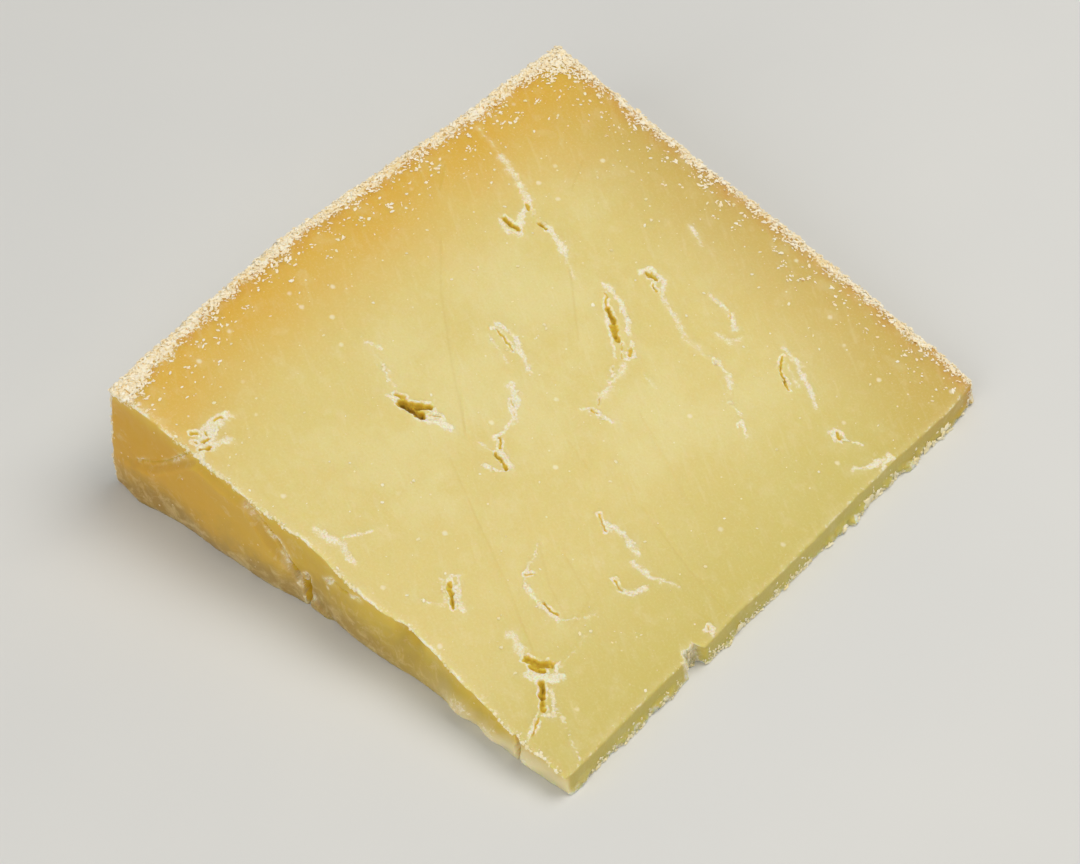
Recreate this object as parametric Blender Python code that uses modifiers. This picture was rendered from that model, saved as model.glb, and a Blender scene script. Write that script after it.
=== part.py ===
"""A wedge of hard, clothbound cheddar, cut from a tall round wheel: one solid piece.

Metres, +Z up. The wedge lies on one of its two radial cuts, and the origin is on that face,
under the middle of the piece. -X is the round rind, +X the thin nose that pointed to the
wheel's axis, +Y the flat end of the wheel, and -Y the side where the wheel was halved.
"""

import math

import bmesh
import bpy
import numpy as np
from mathutils import Matrix

MM = 0.001

# The wheel: its axis runs along Y, in the plane of the lower cut, beyond the nose.
WHEEL_RADIUS = 163.6 * MM
RIND_BULGE = 4.0 * MM
BULGE_CENTRE = -18 * MM
BULGE_REACH = 66 * MM
CUT_ANGLE = math.radians(11.9)

# The piece cut from it.
LENGTH = 139.2 * MM
FLAT_END = 74.9 * MM
RIND_LIP = 1.8 * MM
NOSE_SLOPE = 1.4 * MM
AXIS_X = WHEEL_RADIUS + RIND_BULGE - LENGTH / 2
NOSE_X = LENGTH / 2

# The broken side, as points of X and Y in plan, and how far its foot is worn in.
BROKEN_SIDE = (
    (-70, -76.4),
    (-41, -74.6),
    (-20, -74.0),
    (-5, -72.6),
    (8, -73.5),
    (26, -72.1),
    (42, -73.6),
    (56, -74.6),
    (70, -74.4),
)
WORN_FOOT = 2.2 * MM
WORN_REACH = 26 * MM

# Divisions of the block along X, Y and Z.
GRID = (26, 28, 2)

# Roundings of the edges. The cuts are crisp and the rind is soft.
RIND_CORNER = 4.0 * MM
RIND_EDGE = 2.4 * MM
CUT_EDGE = 0.5 * MM

# Openings left between the milled curds that were pressed together. Each one is
# X, Y, length, width and depth in millimetres, and its turn about Z in degrees.
OPENINGS = (
    (-33.0, 26.2, 5.0, 2.4, 2.6, -44),
    (-33.6, 32.2, 6.0, 1.4, 1.8, -43),
    (-27.0, 31.0, 5.2, 1.6, 2.0, -35),
    (-1.0, 38.8, 4.2, 1.8, 1.8, 31),
    (-3.0, 25.6, 7.4, 2.2, 2.4, -41),
    (4.4, 19.2, 5.4, 1.8, 2.0, -41),
    (-12.0, -1.2, 6.0, 1.4, 1.8, -10),
    (-16.0, -29.2, 6.4, 3.6, 4.6, 12),
    (1.6, -14.6, 5.4, 1.4, 1.8, -61),
    (5.4, -22.6, 5.4, 2.0, 2.2, -61),
    (35.2, 42.4, 7.0, 1.5, 2.0, -55),
    (56.0, 38.0, 3.0, 1.4, 1.4, -16),
    (36.6, -43.8, 6.0, 1.6, 2.0, -9),
    (22.4, -57.8, 5.0, 1.6, 2.0, -10),
    (47.2, -57.8, 6.0, 3.4, 3.2, -13),
    (52.4, -63.2, 6.2, 2.6, 2.8, -13),
)
OPENING_SEGMENTS = 10
OPENING_RINGS = 6
RAGGEDNESS = 0.12

# The bite where the nose edge has snapped off.
BITE_CENTRE = (70.4 * MM, -31.4 * MM)
BITE_SIZE = (7.0 * MM, 6.4 * MM, 20.0 * MM)
BITE_TURN = math.radians(14)

PASTE_COLOUR = (0.74, 0.63, 0.25, 1.0)
PASTE_ROUGHNESS = 0.5


def clear_scene():
    """Removes whatever the startup scene holds."""
    for old in list(bpy.data.objects):
        bpy.data.objects.remove(old, do_unlink=True)


def new_collection(name):
    """A collection linked to the scene."""
    collection = bpy.data.collections.new(name)
    bpy.context.scene.collection.children.link(collection)
    return collection


def paste_material():
    """The paste of the cheese: waxy and pale gold."""
    material = bpy.data.materials.new("cheese_paste")
    material.use_nodes = True
    shader = material.node_tree.nodes["Principled BSDF"]
    shader.inputs["Base Color"].default_value = PASTE_COLOUR
    shader.inputs["Roughness"].default_value = PASTE_ROUGHNESS
    shader.inputs["Metallic"].default_value = 0.0
    return material


def new_object(name, bm, collection):
    """Turns a bmesh into an object of the given collection."""
    mesh = bpy.data.meshes.new(name)
    bm.to_mesh(mesh)
    bm.free()
    obj = bpy.data.objects.new(name, mesh)
    collection.objects.link(obj)
    return obj


def broken_side(x):
    """Y of the broken side at x: its points joined by smooth half waves."""
    points = np.array(BROKEN_SIDE) * MM
    after = np.clip(np.searchsorted(points[:, 0], x), 1, len(points) - 1)
    start, end = points[after - 1], points[after]
    way = np.clip((x - start[:, 0]) / (end[:, 0] - start[:, 0]), 0, 1)
    return start[:, 1] + (end[:, 1] - start[:, 1]) * (1 - np.cos(np.pi * way)) / 2


def wedge_points(u, v, w):
    """Places the block's points, given as fractions along X, Y and Z.

    The rind is an arc about the wheel's axis, with a barrel bulge along Y. The lower cut is
    the plane Z = 0 and the upper cut is the plane through the axis at CUT_ANGLE.
    """
    y_rough = (v - 0.5) * 2 * FLAT_END
    bump = np.clip(np.abs(y_rough - BULGE_CENTRE) / BULGE_REACH, 0, 1)
    radius = WHEEL_RADIUS + RIND_BULGE * np.cos(np.pi / 2 * bump) ** 2
    rind_x = AXIS_X - radius * np.cos(w * CUT_ANGLE)
    nose_x = NOSE_X - NOSE_SLOPE * w
    x = rind_x + (nose_x - rind_x) * u

    worn = WORN_FOOT * (1 - w) * np.exp(-(((x + LENGTH / 2) / WORN_REACH) ** 2))
    near = broken_side(x) + worn
    far = FLAT_END + RIND_LIP * np.exp(-((u / 0.08) ** 2)) - RIND_LIP * u**6
    y = near + (far - near) * v
    z = w * math.tan(CUT_ANGLE) * (AXIS_X - x)
    return x, y, z


def edge_rounding(u, v, w):
    """The rounding of the block's edge that holds the fraction (u, v, w), or 0 inside a face."""
    borders = [value < 0.001 or value > 0.999 for value in (u, v, w)]
    if sum(borders) < 2:
        return 0.0
    on_round_rind = u < 0.001
    on_flat_rind = v > 0.999
    if on_round_rind and on_flat_rind:
        return RIND_CORNER
    if on_round_rind or on_flat_rind:
        return RIND_EDGE
    return CUT_EDGE


def make_block():
    """A unit cube divided into a grid, with its edges' roundings stored as bevel weights."""
    bm = bmesh.new()
    bmesh.ops.create_cube(bm, size=1.0, matrix=Matrix.Translation((0.5, 0.5, 0.5)))
    for axis, count in enumerate(GRID):
        along = [e for e in bm.edges if abs(e.verts[0].co[axis] - e.verts[1].co[axis]) > 0.5]
        bmesh.ops.subdivide_edges(bm, edges=along, cuts=count - 1, use_grid_fill=True)
    weights = bm.edges.layers.float.new("bevel_weight_edge")
    for edge in bm.edges:
        middle = (edge.verts[0].co + edge.verts[1].co) / 2
        edge[weights] = edge_rounding(*middle) / RIND_CORNER
    return bm


def shape_block(bm):
    """Moves the cube's points onto the wedge, then merges the flat underside into one face."""
    fractions = np.array([vert.co for vert in bm.verts])
    placed = np.stack(wedge_points(*fractions.T), axis=1)
    for vert, place in zip(bm.verts, placed):
        vert.co = place
    under = [face for face in bm.faces if face.calc_center_median().z < 0.01 * MM]
    seams = [e for e in bm.edges if all(face in under for face in e.link_faces)]
    bmesh.ops.dissolve_edges(bm, edges=seams, use_verts=True)
    bmesh.ops.recalc_face_normals(bm, faces=bm.faces)


def make_wedge(collection, material):
    """The solid wedge, before its openings are cut."""
    bm = make_block()
    shape_block(bm)
    wedge = new_object("cheese_wedge", bm, collection)
    wedge.data.materials.append(material)
    rounding = wedge.modifiers.new("edge_rounding", "BEVEL")
    rounding.limit_method = "WEIGHT"
    rounding.width = RIND_CORNER
    rounding.segments = 2
    rounding.use_clamp_overlap = False
    return wedge


def make_opening(index, place, collection):
    """A ragged lens of empty space, half sunk in the upper cut."""
    x, y, length, width, depth, turn = place
    rng = np.random.default_rng(index)
    bm = bmesh.new()
    bmesh.ops.create_uvsphere(
        bm, u_segments=OPENING_SEGMENTS, v_segments=OPENING_RINGS, radius=1.0
    )
    for vert in bm.verts:
        vert.co *= 1 + RAGGEDNESS * rng.uniform(-1, 1)
        vert.co.x *= length / 2 * MM
        vert.co.y *= width / 2 * MM
        vert.co.z *= depth * MM
    surface_z = math.tan(CUT_ANGLE) * (AXIS_X - x * MM)
    matrix = (
        Matrix.Translation((x * MM, y * MM, surface_z))
        @ Matrix.Rotation(CUT_ANGLE, 4, "Y")
        @ Matrix.Rotation(math.radians(turn), 4, "Z")
    )
    bmesh.ops.transform(bm, matrix=matrix, verts=bm.verts)
    return new_object(f"opening_{index:02d}", bm, collection)


def make_bite(collection):
    """A box that takes the snapped corner out of the nose edge."""
    bm = bmesh.new()
    matrix = (
        Matrix.Translation((*BITE_CENTRE, 0.0))
        @ Matrix.Rotation(BITE_TURN, 4, "Z")
        @ Matrix.Diagonal((*BITE_SIZE, 1.0))
    )
    bmesh.ops.create_cube(bm, size=1.0, matrix=matrix)
    return new_object("nose_bite", bm, collection)


def make_cutters(collection):
    """Every empty space, as hidden wire objects."""
    cutters = [make_opening(i, place, collection) for i, place in enumerate(OPENINGS)]
    cutters.append(make_bite(collection))
    for cutter in cutters:
        cutter.hide_render = True
        cutter.display_type = "WIRE"


def main():
    clear_scene()
    cheese = new_collection("cheddar_wedge")
    spaces = new_collection("cutters")
    make_cutters(spaces)
    wedge = make_wedge(cheese, paste_material())
    cut = wedge.modifiers.new("openings", "BOOLEAN")
    cut.operation = "DIFFERENCE"
    cut.solver = "EXACT"
    cut.operand_type = "COLLECTION"
    cut.collection = spaces
    wedge.data.shade_smooth()
    wedge.data.set_sharp_from_angle(angle=math.radians(35))


main()
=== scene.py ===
# %% [markdown]
# # A wedge of clothbound cheddar
#
# The real object is one body: a pressed, matured paste with its own rind. This lesson builds
# its looks around a fixed CAD wedge that only knows the size and place. We make one closed
# skin for the paste and rind, then the small things that cling to it: the bloom on the rind,
# the torn crumbs round the openings, and the white crystals.
#
# All lengths in this file are in millimetres until a mesh is made. Blender works in metres,
# so one constant turns one into the other.

# %% Load the fixed frame
import math
import time

import bmesh
import bpy
import numpy as np
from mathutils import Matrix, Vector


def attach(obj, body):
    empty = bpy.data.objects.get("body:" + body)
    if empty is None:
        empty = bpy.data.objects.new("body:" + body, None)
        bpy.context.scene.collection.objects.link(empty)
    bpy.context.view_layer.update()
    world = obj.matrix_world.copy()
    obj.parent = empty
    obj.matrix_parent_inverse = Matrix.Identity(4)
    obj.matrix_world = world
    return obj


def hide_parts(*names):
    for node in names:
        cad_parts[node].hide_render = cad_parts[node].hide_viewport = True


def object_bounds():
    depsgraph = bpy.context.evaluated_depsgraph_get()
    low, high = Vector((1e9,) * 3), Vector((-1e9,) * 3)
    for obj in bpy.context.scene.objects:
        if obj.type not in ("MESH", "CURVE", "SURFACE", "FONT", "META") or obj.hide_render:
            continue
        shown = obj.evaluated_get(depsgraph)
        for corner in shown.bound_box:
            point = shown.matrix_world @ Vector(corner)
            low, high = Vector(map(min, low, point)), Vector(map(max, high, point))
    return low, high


started = time.perf_counter()
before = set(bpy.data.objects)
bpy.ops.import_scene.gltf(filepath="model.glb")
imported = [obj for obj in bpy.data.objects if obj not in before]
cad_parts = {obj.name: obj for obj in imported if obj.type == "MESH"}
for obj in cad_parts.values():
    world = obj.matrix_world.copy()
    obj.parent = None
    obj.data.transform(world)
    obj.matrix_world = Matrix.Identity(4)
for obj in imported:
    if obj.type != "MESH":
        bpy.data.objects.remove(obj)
cad_low, cad_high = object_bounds()

MM = 0.001
LOW = np.array(cad_low) / MM
HIGH = np.array(cad_high) / MM
print("CAD box in mm:", np.round(LOW, 1), np.round(HIGH, 1))

# %% [markdown]
# ## Randomness that never changes
#
# Cheese is never smooth, but every run has to give the same cheese. Value noise does this:
# each whole-number point of a lattice gets a fixed random number from mixing the bits of its
# coordinates, and points between take a smooth blend of the eight corners around them.
# Noise in layers of half the size looks natural at every distance.

# %% Value noise
BITS = 0xFFFFFFFF


def lattice_value(ix, iy, iz, seed):
    """A fixed random number from 0 to 1 for each lattice point: coordinates times large primes,
    added, then folded and multiplied twice so that neighbours share nothing."""
    mixed = (ix * 374761393 + iy * 668265263 + iz * 1440662683 + seed * 974711) & BITS
    mixed = ((mixed ^ (mixed >> 13)) * 1274126177) & BITS
    mixed = ((mixed ^ (mixed >> 16)) * 1103515245) & BITS
    return (mixed ^ (mixed >> 15)) / BITS


def smooth(value):
    """Eases a value from 0 to 1: three times its square, less twice its cube."""
    value = np.clip(value, 0, 1)
    return value * value * (3 - 2 * value)


def one_noise(points, seed):
    """Lattice values blended between the eight corners of the cell around each point."""
    cell = np.floor(points).astype(np.int64)
    x, y, z = smooth(points - cell).T
    total = np.zeros(len(points))
    for corner in range(8):
        dx, dy, dz = corner & 1, corner >> 1 & 1, corner >> 2
        share = (x if dx else 1 - x) * (y if dy else 1 - y) * (z if dz else 1 - z)
        total += share * lattice_value(cell[:, 0] + dx, cell[:, 1] + dy, cell[:, 2] + dz, seed)
    return total * 2 - 1


def noise(points, size, seed, layers=1, gain=0.5):
    """Noise from -1 to 1 with features of the given size in mm. Each further layer is half as
    large and `gain` times as strong, and the sum is divided by the sum of the strengths."""
    total, weight = np.zeros(len(points)), 0.0
    for layer in range(layers):
        strength = gain**layer
        total += strength * one_noise(points / (size / 2**layer) + 17.3 * layer, seed + layer)
        weight += strength
    return total / weight


def bell(distance, reach):
    """A bell curve: 1 at distance 0 and about a third at the reach, from the exponential of
    minus the square of their ratio."""
    return np.exp(-((distance / reach) ** 2))


def in_plan(x, y, height=0.0):
    """Points in space from X and Y arrays, for noise on a flat face."""
    return np.stack([x, y, np.full_like(x, height)], axis=1)


def between(start, end, way):
    """The value `way` of the distance from start to end."""
    return start + (end - start) * way


# %% [markdown]
# ## The wheel and its two cuts
#
# A clothbound cheddar is a tall drum. The grocer halves it across, then cuts wedges with a
# wire, each between two planes through the drum's axis. So the piece has six sides: the round
# rind, the thin nose by the axis, the broken side where the drum was halved, the flat end of
# the drum, the lower cut that it lies on, and the upper cut that faces up.
#
# Each side is a height function of the other two directions, and a block with coordinates
# u, v and w from 0 to 1 is stretched between them. That keeps every edge shared, so the skin
# is closed without sewing anything.

# %% Sizes of the wheel and the piece
CUT_ANGLE = math.radians(11.9)
WHEEL_RADIUS = 163.6
RIND_BULGE = 4.0
BULGE_CENTRE = -18.0
BULGE_REACH = 66.0
AXIS_X = LOW[0] + WHEEL_RADIUS + RIND_BULGE
NOSE_X = HIGH[0]
FLAT_END = HIGH[1] - 1.6
RIND_LIP = 1.8
HALF_Y = (HIGH[1] - LOW[1]) / 2

# Length and breadth in whole millimetres, where only a rough distance is needed.
LENGTH = 139
BREADTH = 152

# The broken side in plan: X and Y of the few points that its wandering line turns at.
BROKEN_X = np.array([-70, -41, -20, -5, 8, 26, 42, 56, 70.0])
BROKEN_Y = np.array([-76.4, -74.6, -74.0, -72.6, -73.5, -72.1, -73.6, -74.6, -74.4])
print("the cuts would meet", round(AXIS_X - NOSE_X, 1), "mm beyond the nose")

# %% [markdown]
# ## Openings, scars and knife marks
#
# Cheddar's curd is milled into chips, salted and pressed. Where chips didn't knit, the wire
# opens small ragged slots with deep golden insides and chalky torn lips. Between them run
# pale seams, the chips' own boundaries, and the wire leaves long shallow steps.
#
# A slot, a seam or a step is a short path in plan. How far a point lies from the path, after
# noise has bent the ruler, decides how deep, how chalky or how high the surface is there.

# %% Paths on the upper cut
# Slots: path in X and Y, half width, depth.
SLOTS = (
    ([(-36.0, 25.8), (-33.6, 25.4), (-32.0, 26.0)], 0.75, 2.2),
    ([(-32.6, 24.0), (-30.6, 24.5)], 0.30, 1.0),
    ([(-35.5, 33.0), (-34.0, 32.0)], 0.45, 1.6),
    ([(-33.2, 32.6), (-32.0, 31.5)], 0.25, 0.9),
    ([(-30.0, 31.2), (-27.6, 30.9)], 0.55, 2.0),
    ([(-3.5, 39.2), (-1.0, 39.5)], 0.60, 2.0),
    ([(-3.0, 40.2), (-2.4, 38.6)], 0.40, 1.6),
    ([(-0.5, 37.6), (1.0, 36.9)], 0.40, 1.5),
    ([(-6.4, 27.4), (-3.4, 24.6)], 0.38, 1.5),
    ([(-3.2, 24.4), (0.2, 22.6)], 0.70, 2.6),
    ([(1.0, 21.8), (3.6, 19.6)], 0.95, 2.2),
    ([(5.0, 19.4), (8.0, 16.6)], 0.26, 1.3),
    ([(7.5, 20.0), (8.6, 18.4)], 0.42, 1.4),
    ([(8.0, 12.6), (8.6, 12.3)], 0.30, 0.9),
    ([(-1.1, 26.7), (-0.4, 26.2)], 0.25, 0.9),
    ([(11.8, 4.2), (12.6, 2.6)], 0.35, 1.2),
    ([(12.4, 0.4), (13.6, 0.9)], 0.40, 1.3),
    ([(15.0, -0.1), (15.8, 0.2)], 0.25, 0.9),
    ([(-17.0, 0.6), (-14.0, 0.4), (-10.4, -0.8)], 0.32, 1.5),
    ([(-17.4, -30.2), (-14.5, -29.6), (-12.4, -29.4)], 1.10, 4.0),
    ([(-15.6, -29.0), (-12.6, -26.4)], 0.80, 3.4),
    ([(-20.0, -29.8), (-18.0, -29.0)], 0.50, 1.8),
    ([(-10.8, -28.2), (-9.0, -26.6)], 0.30, 1.1),
    ([(-1.6, -11.4), (-0.4, -12.2)], 0.32, 1.1),
    ([(0.8, -13.4), (1.4, -13.9)], 0.25, 0.9),
    ([(3.4, -20.8), (5.0, -22.6)], 0.42, 1.5),
    ([(5.4, -24.4), (7.5, -25.0), (9.8, -25.9)], 0.50, 2.0),
    ([(7.2, -27.8), (7.9, -28.3)], 0.28, 0.9),
    ([(32.6, 45.2), (34.3, 41.6), (39.4, 38.8)], 0.34, 1.9),
    ([(16.4, 44.8), (17.6, 44.2)], 0.34, 1.1),
    ([(22.6, 31.8), (23.6, 31.2)], 0.28, 0.9),
    ([(37.2, 22.8), (38.0, 22.2)], 0.28, 0.9),
    ([(54.3, 37.8), (55.6, 37.2)], 0.55, 1.5),
    ([(31.4, -19.2), (33.4, -20.6), (35.2, -21.6)], 0.34, 1.4),
    ([(35.3, -20.4), (36.0, -20.2)], 0.28, 0.8),
    ([(44.4, -29.4), (47.2, -30.7)], 0.36, 1.5),
    ([(48.8, -30.1), (49.4, -29.7)], 0.25, 0.8),
    ([(30.6, -43.2), (31.6, -41.4)], 0.34, 1.2),
    ([(37.8, -45.3), (39.8, -45.7), (41.8, -45.4)], 0.40, 1.8),
    ([(35.3, -46.1), (36.6, -45.9)], 0.22, 0.9),
    ([(20.4, -56.8), (22.8, -58.4), (25.2, -60.6)], 0.55, 2.0),
    ([(44.4, -58.6), (46.8, -57.6), (48.6, -55.6)], 1.00, 2.8),
    ([(46.4, -59.2), (48.6, -58.2)], 0.90, 2.2),
    ([(50.4, -60.6), (52.4, -62.8)], 0.85, 3.2),
    ([(52.4, -62.8), (54.8, -65.2)], 0.55, 2.4),
    ([(55.4, -67.4), (57.2, -71.0)], 0.30, 1.6),
    ([(66.2, -23.2), (66.9, -23.8)], 0.40, 1.0),
    ([(-41.8, -64.4), (-41.3, -63.0)], 0.42, 1.5),
    ([(-42.8, -70.6), (-42.0, -69.4)], 0.50, 1.9),
    ([(-41.2, -67.9), (-40.4, -68.4)], 0.38, 1.5),
    ([(-39.7, -70.3), (-39.3, -68.9)], 0.42, 1.9),
    ([(-38.8, -72.1), (-37.8, -71.1), (-38.0, -70.1)], 0.46, 2.1),
    ([(-41.0, -72.0), (-40.3, -71.6)], 0.36, 1.5),
    ([(-32.7, -23.6), (-31.0, -23.2)], 0.28, 0.9),
)

# Seams and scars: path in X and Y, half width, how chalky it is from 0 to 1.
SCARS = (
    ([(-58.0, 41.0), (-48.5, 39.0)], 0.45, 0.45),
    ([(-48.5, 39.0), (-42.0, 36.5), (-36.4, 34.0)], 1.30, 0.55),
    ([(-34.5, 31.8), (-33.5, 28.4), (-30.5, 25.6)], 0.80, 0.75),
    ([(-36.8, 24.6), (-33.0, 23.4)], 0.70, 0.60),
    ([(-27.0, 31.3), (-22.5, 30.0), (-19.5, 28.5)], 0.80, 0.75),
    ([(-19.5, 28.5), (-14.0, 25.0)], 0.50, 0.45),
    ([(-4.6, 38.2), (-3.8, 40.8), (0.4, 40.2), (2.6, 37.2)], 0.60, 0.75),
    ([(2.6, 37.0), (7.5, 35.0), (11.5, 33.0)], 0.80, 0.55),
    ([(11.5, 33.0), (14.4, 31.6), (20.5, 31.4)], 1.00, 0.42),
    ([(-8.6, 28.8), (-6.6, 29.2), (-2.4, 28.2), (1.6, 25.6), (4.6, 22.4)], 0.60, 0.75),
    ([(-5.0, 24.8), (-1.0, 21.6), (2.0, 19.2), (6.6, 15.4)], 0.50, 0.60),
    ([(6.2, 21.2), (9.8, 18.6), (8.8, 16.8)], 0.60, 0.75),
    ([(9.8, 15.6), (10.4, 11.4), (11.2, 7.4), (11.8, 4.8)], 1.10, 0.55),
    ([(10.2, -1.6), (12.6, 0.2), (17.8, 1.6)], 0.50, 0.62),
    ([(14.0, 16.8), (18.8, 15.8)], 0.40, 0.42),
    ([(-17.6, 2.2), (-12.8, 2.4), (-9.6, 0.6), (-3.4, -2.2)], 0.70, 0.66),
    ([(-17.4, -1.4), (-8.6, -4.4)], 0.40, 0.50),
    ([(-26.0, -26.8), (-21.4, -28.2)], 0.50, 0.55),
    ([(-20.6, -31.4), (-18.6, -30.6)], 0.70, 0.70),
    ([(-12.2, -30.4), (-8.6, -28.4), (-5.4, -27.2)], 0.90, 0.75),
    ([(-11.8, -26.2), (-8.2, -26.6)], 0.60, 0.65),
    ([(-4.2, -8.0), (-0.4, -10.2), (1.8, -14.4)], 0.85, 0.80),
    ([(1.8, -14.4), (3.0, -18.6), (2.8, -21.6)], 0.70, 0.72),
    ([(1.0, -25.2), (4.6, -24.6)], 0.50, 0.60),
    ([(6.4, -23.4), (10.4, -24.6), (9.4, -27.2), (6.0, -28.6)], 0.70, 0.75),
    ([(31.6, 46.8), (36.0, 46.0), (39.5, 43.6)], 0.90, 0.60),
    ([(38.8, 44.6), (44.2, 41.6)], 0.60, 0.78),
    ([(44.2, 41.6), (46.8, 39.4)], 0.38, 0.66),
    ([(35.0, 44.0), (40.6, 40.8)], 0.90, 0.40),
    ([(10.6, 45.6), (15.6, 45.2)], 0.80, 0.60),
    ([(16.8, 45.2), (20.4, 42.4)], 0.80, 0.66),
    ([(18.6, 38.2), (22.0, 38.6), (22.8, 41.4)], 0.90, 0.45),
    ([(23.4, 32.2), (27.0, 31.4)], 0.60, 0.66),
    ([(27.0, 31.4), (30.0, 28.6)], 1.00, 0.60),
    ([(32.4, 25.6), (36.4, 24.8)], 0.45, 0.55),
    ([(37.4, 23.2), (40.6, 21.4)], 0.80, 0.66),
    ([(53.0, 37.6), (54.6, 39.0), (57.0, 37.8), (55.4, 36.0), (53.2, 36.8)], 0.50, 0.80),
    ([(57.0, 38.0), (59.0, 39.2), (60.6, 39.6)], 0.28, 0.78),
    ([(34.4, -20.0), (38.4, -19.2), (41.0, -19.8)], 0.90, 0.72),
    ([(41.0, -19.8), (44.0, -20.6)], 0.90, 0.60),
    ([(47.0, -31.4), (49.8, -29.0), (50.2, -26.4)], 0.70, 0.66),
    ([(44.4, -23.6), (49.4, -23.4), (52.0, -22.0)], 0.80, 0.62),
    ([(52.0, -22.0), (55.4, -20.4)], 0.50, 0.45),
    ([(27.4, -35.4), (29.0, -38.8), (30.2, -42.6), (32.4, -45.2)], 0.40, 0.55),
    ([(32.4, -45.2), (37.6, -46.4), (42.8, -46.2)], 0.60, 0.72),
    ([(42.8, -46.2), (45.6, -42.6), (47.4, -39.4)], 0.40, 0.45),
    ([(19.6, -55.4), (20.8, -54.0), (24.4, -58.2), (27.6, -59.8)], 0.55, 0.62),
    ([(19.4, -64.6), (23.2, -62.0)], 0.50, 0.50),
    ([(19.0, -57.6), (23.2, -61.0)], 0.50, 0.50),
    ([(38.4, -56.2), (42.4, -58.0)], 1.30, 0.60),
    ([(47.6, -60.8), (50.2, -59.0), (52.2, -56.4)], 0.85, 0.95),
    ([(49.4, -54.6), (50.8, -56.0)], 0.70, 0.75),
    ([(53.0, -60.4), (57.0, -64.2), (55.8, -66.4)], 0.60, 0.62),
    ([(54.4, -66.0), (57.4, -73.0)], 0.60, 0.60),
    ([(56.6, -62.4), (68.2, -68.6)], 0.26, 0.55),
    ([(50.8, -54.6), (49.2, -44.6)], 0.35, 0.42),
    ([(-7.6, -68.6), (-1.0, -66.6), (3.4, -68.4)], 1.00, 0.62),
    ([(-2.4, -65.8), (0.6, -59.6)], 0.40, 0.62),
    ([(-41.6, -62.4), (-41.4, -66.4), (-38.2, -71.0)], 1.70, 0.78),
    ([(-38.2, -71.0), (-36.0, -66.4)], 1.20, 0.66),
    ([(-38.2, -71.0), (-36.4, -75.0)], 1.40, 0.66),
    ([(62.8, 32.4), (65.2, 36.8)], 0.45, 0.62),
    ([(65.2, 36.8), (66.8, 42.0)], 0.85, 0.80),
    ([(66.4, 40.4), (67.8, 37.6)], 0.55, 0.66),
    ([(66.0, -24.6), (67.4, -22.6), (67.8, -24.6)], 0.40, 0.70),
    ([(67.6, -24.2), (69.4, -25.6)], 0.40, 0.60),
    ([(-30.0, -25.4), (-24.4, -26.0)], 0.45, 0.45),
    ([(-33.6, -24.2), (-30.4, -23.0)], 0.60, 0.60),
    ([(-5.6, 57.6), (0.0, 55.0)], 0.60, 0.55),
    ([(-6.0, 12.6), (-2.0, 9.0)], 0.50, 0.25),
)

# Steps of the wire: path in X and Y, height of the step, how far its slope runs out.
STEPS = (
    ([(-41.5, 9.5), (-32.0, -1.0), (-17.5, -13.6), (-2.5, -25.6)], 0.13, 4.5),
    ([(-0.5, -33.0), (14.0, -40.4), (29.0, -47.6), (44.0, -56.0)], 0.09, 3.5),
    ([(14.0, -10.0), (22.6, -12.2)], 0.09, 3.5),
    ([(36.5, -10.8), (54.5, -15.6), (66.6, -17.6)], 0.10, 5.0),
    ([(-16.0, 26.0), (-2.0, 12.6)], 0.07, 3.0),
    ([(-55.5, 26.6), (-51.4, 20.0)], 0.06, 2.5),
    ([(-35.0, 52.6), (-31.0, 44.0)], 0.05, 2.5),
    ([(20.0, 8.0), (46.0, -3.4)], 0.06, 4.0),
    ([(27.0, -34.6), (36.0, -41.4), (46.0, -45.6), (44.0, -37.2), (33.0, -33.0)], 0.12, 4.5),
)
print(len(SLOTS), "slots,", len(SCARS), "scars and", len(STEPS), "wire marks")

# %% Distance to a path
def path_distance(x, y, path):
    """Distance from each point to a path: for each straight run, the nearest place on it is
    the point's shadow on the run, held between its ends."""
    nearest = np.full(len(x), np.inf)
    for (ax, ay), (bx, by) in zip(path[:-1], path[1:]):
        run_x, run_y = bx - ax, by - ay
        way = ((x - ax) * run_x + (y - ay) * run_y) / (run_x**2 + run_y**2)
        way = np.clip(way, 0, 1)
        gap = np.hypot(x - ax - way * run_x, y - ay - way * run_y)
        nearest = np.minimum(nearest, gap)
    return nearest


def nearest_step(x, y):
    """Distance to the nearest of the wire's steps."""
    return np.min([path_distance(x, y, path) for path, _, _ in STEPS], axis=0)


def side_of_path(x, y, path):
    """Which side of the line from a path's first to its last point each point is on."""
    (ax, ay), (bx, by) = path[0], path[-1]
    return (bx - ax) * (y - ay) - (by - ay) * (x - ax)


# %% [markdown]
# ## The upper cut's relief
#
# The wire drags the paste, so a slot's edge is torn and not drawn. Bending the plan with two
# sizes of noise before measuring gives jagged outlines from plain paths. The wall of a slot
# drops in about half a millimetre, and its lips stand a little proud.

# %% Relief of the upper cut
TEAR_COARSE = (1.5, 0.42)
TEAR_FINE = (0.55, 0.22)
WALL = 0.36
LIP_REACH = 0.55
SLOT_SHARE = 0.58
HALO = 1.4


def torn_plan(x, y):
    """The plan bent by two sizes of noise, so that straight paths tear into ragged ones."""
    flat = in_plan(x, y)
    bent = []
    for seed, value in ((11, x), (23, y)):
        shift = TEAR_COARSE[1] * noise(flat, TEAR_COARSE[0], seed, layers=2)
        shift = shift + TEAR_FINE[1] * noise(flat, TEAR_FINE[0], seed + 5)
        bent.append(value + shift)
    return bent


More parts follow.
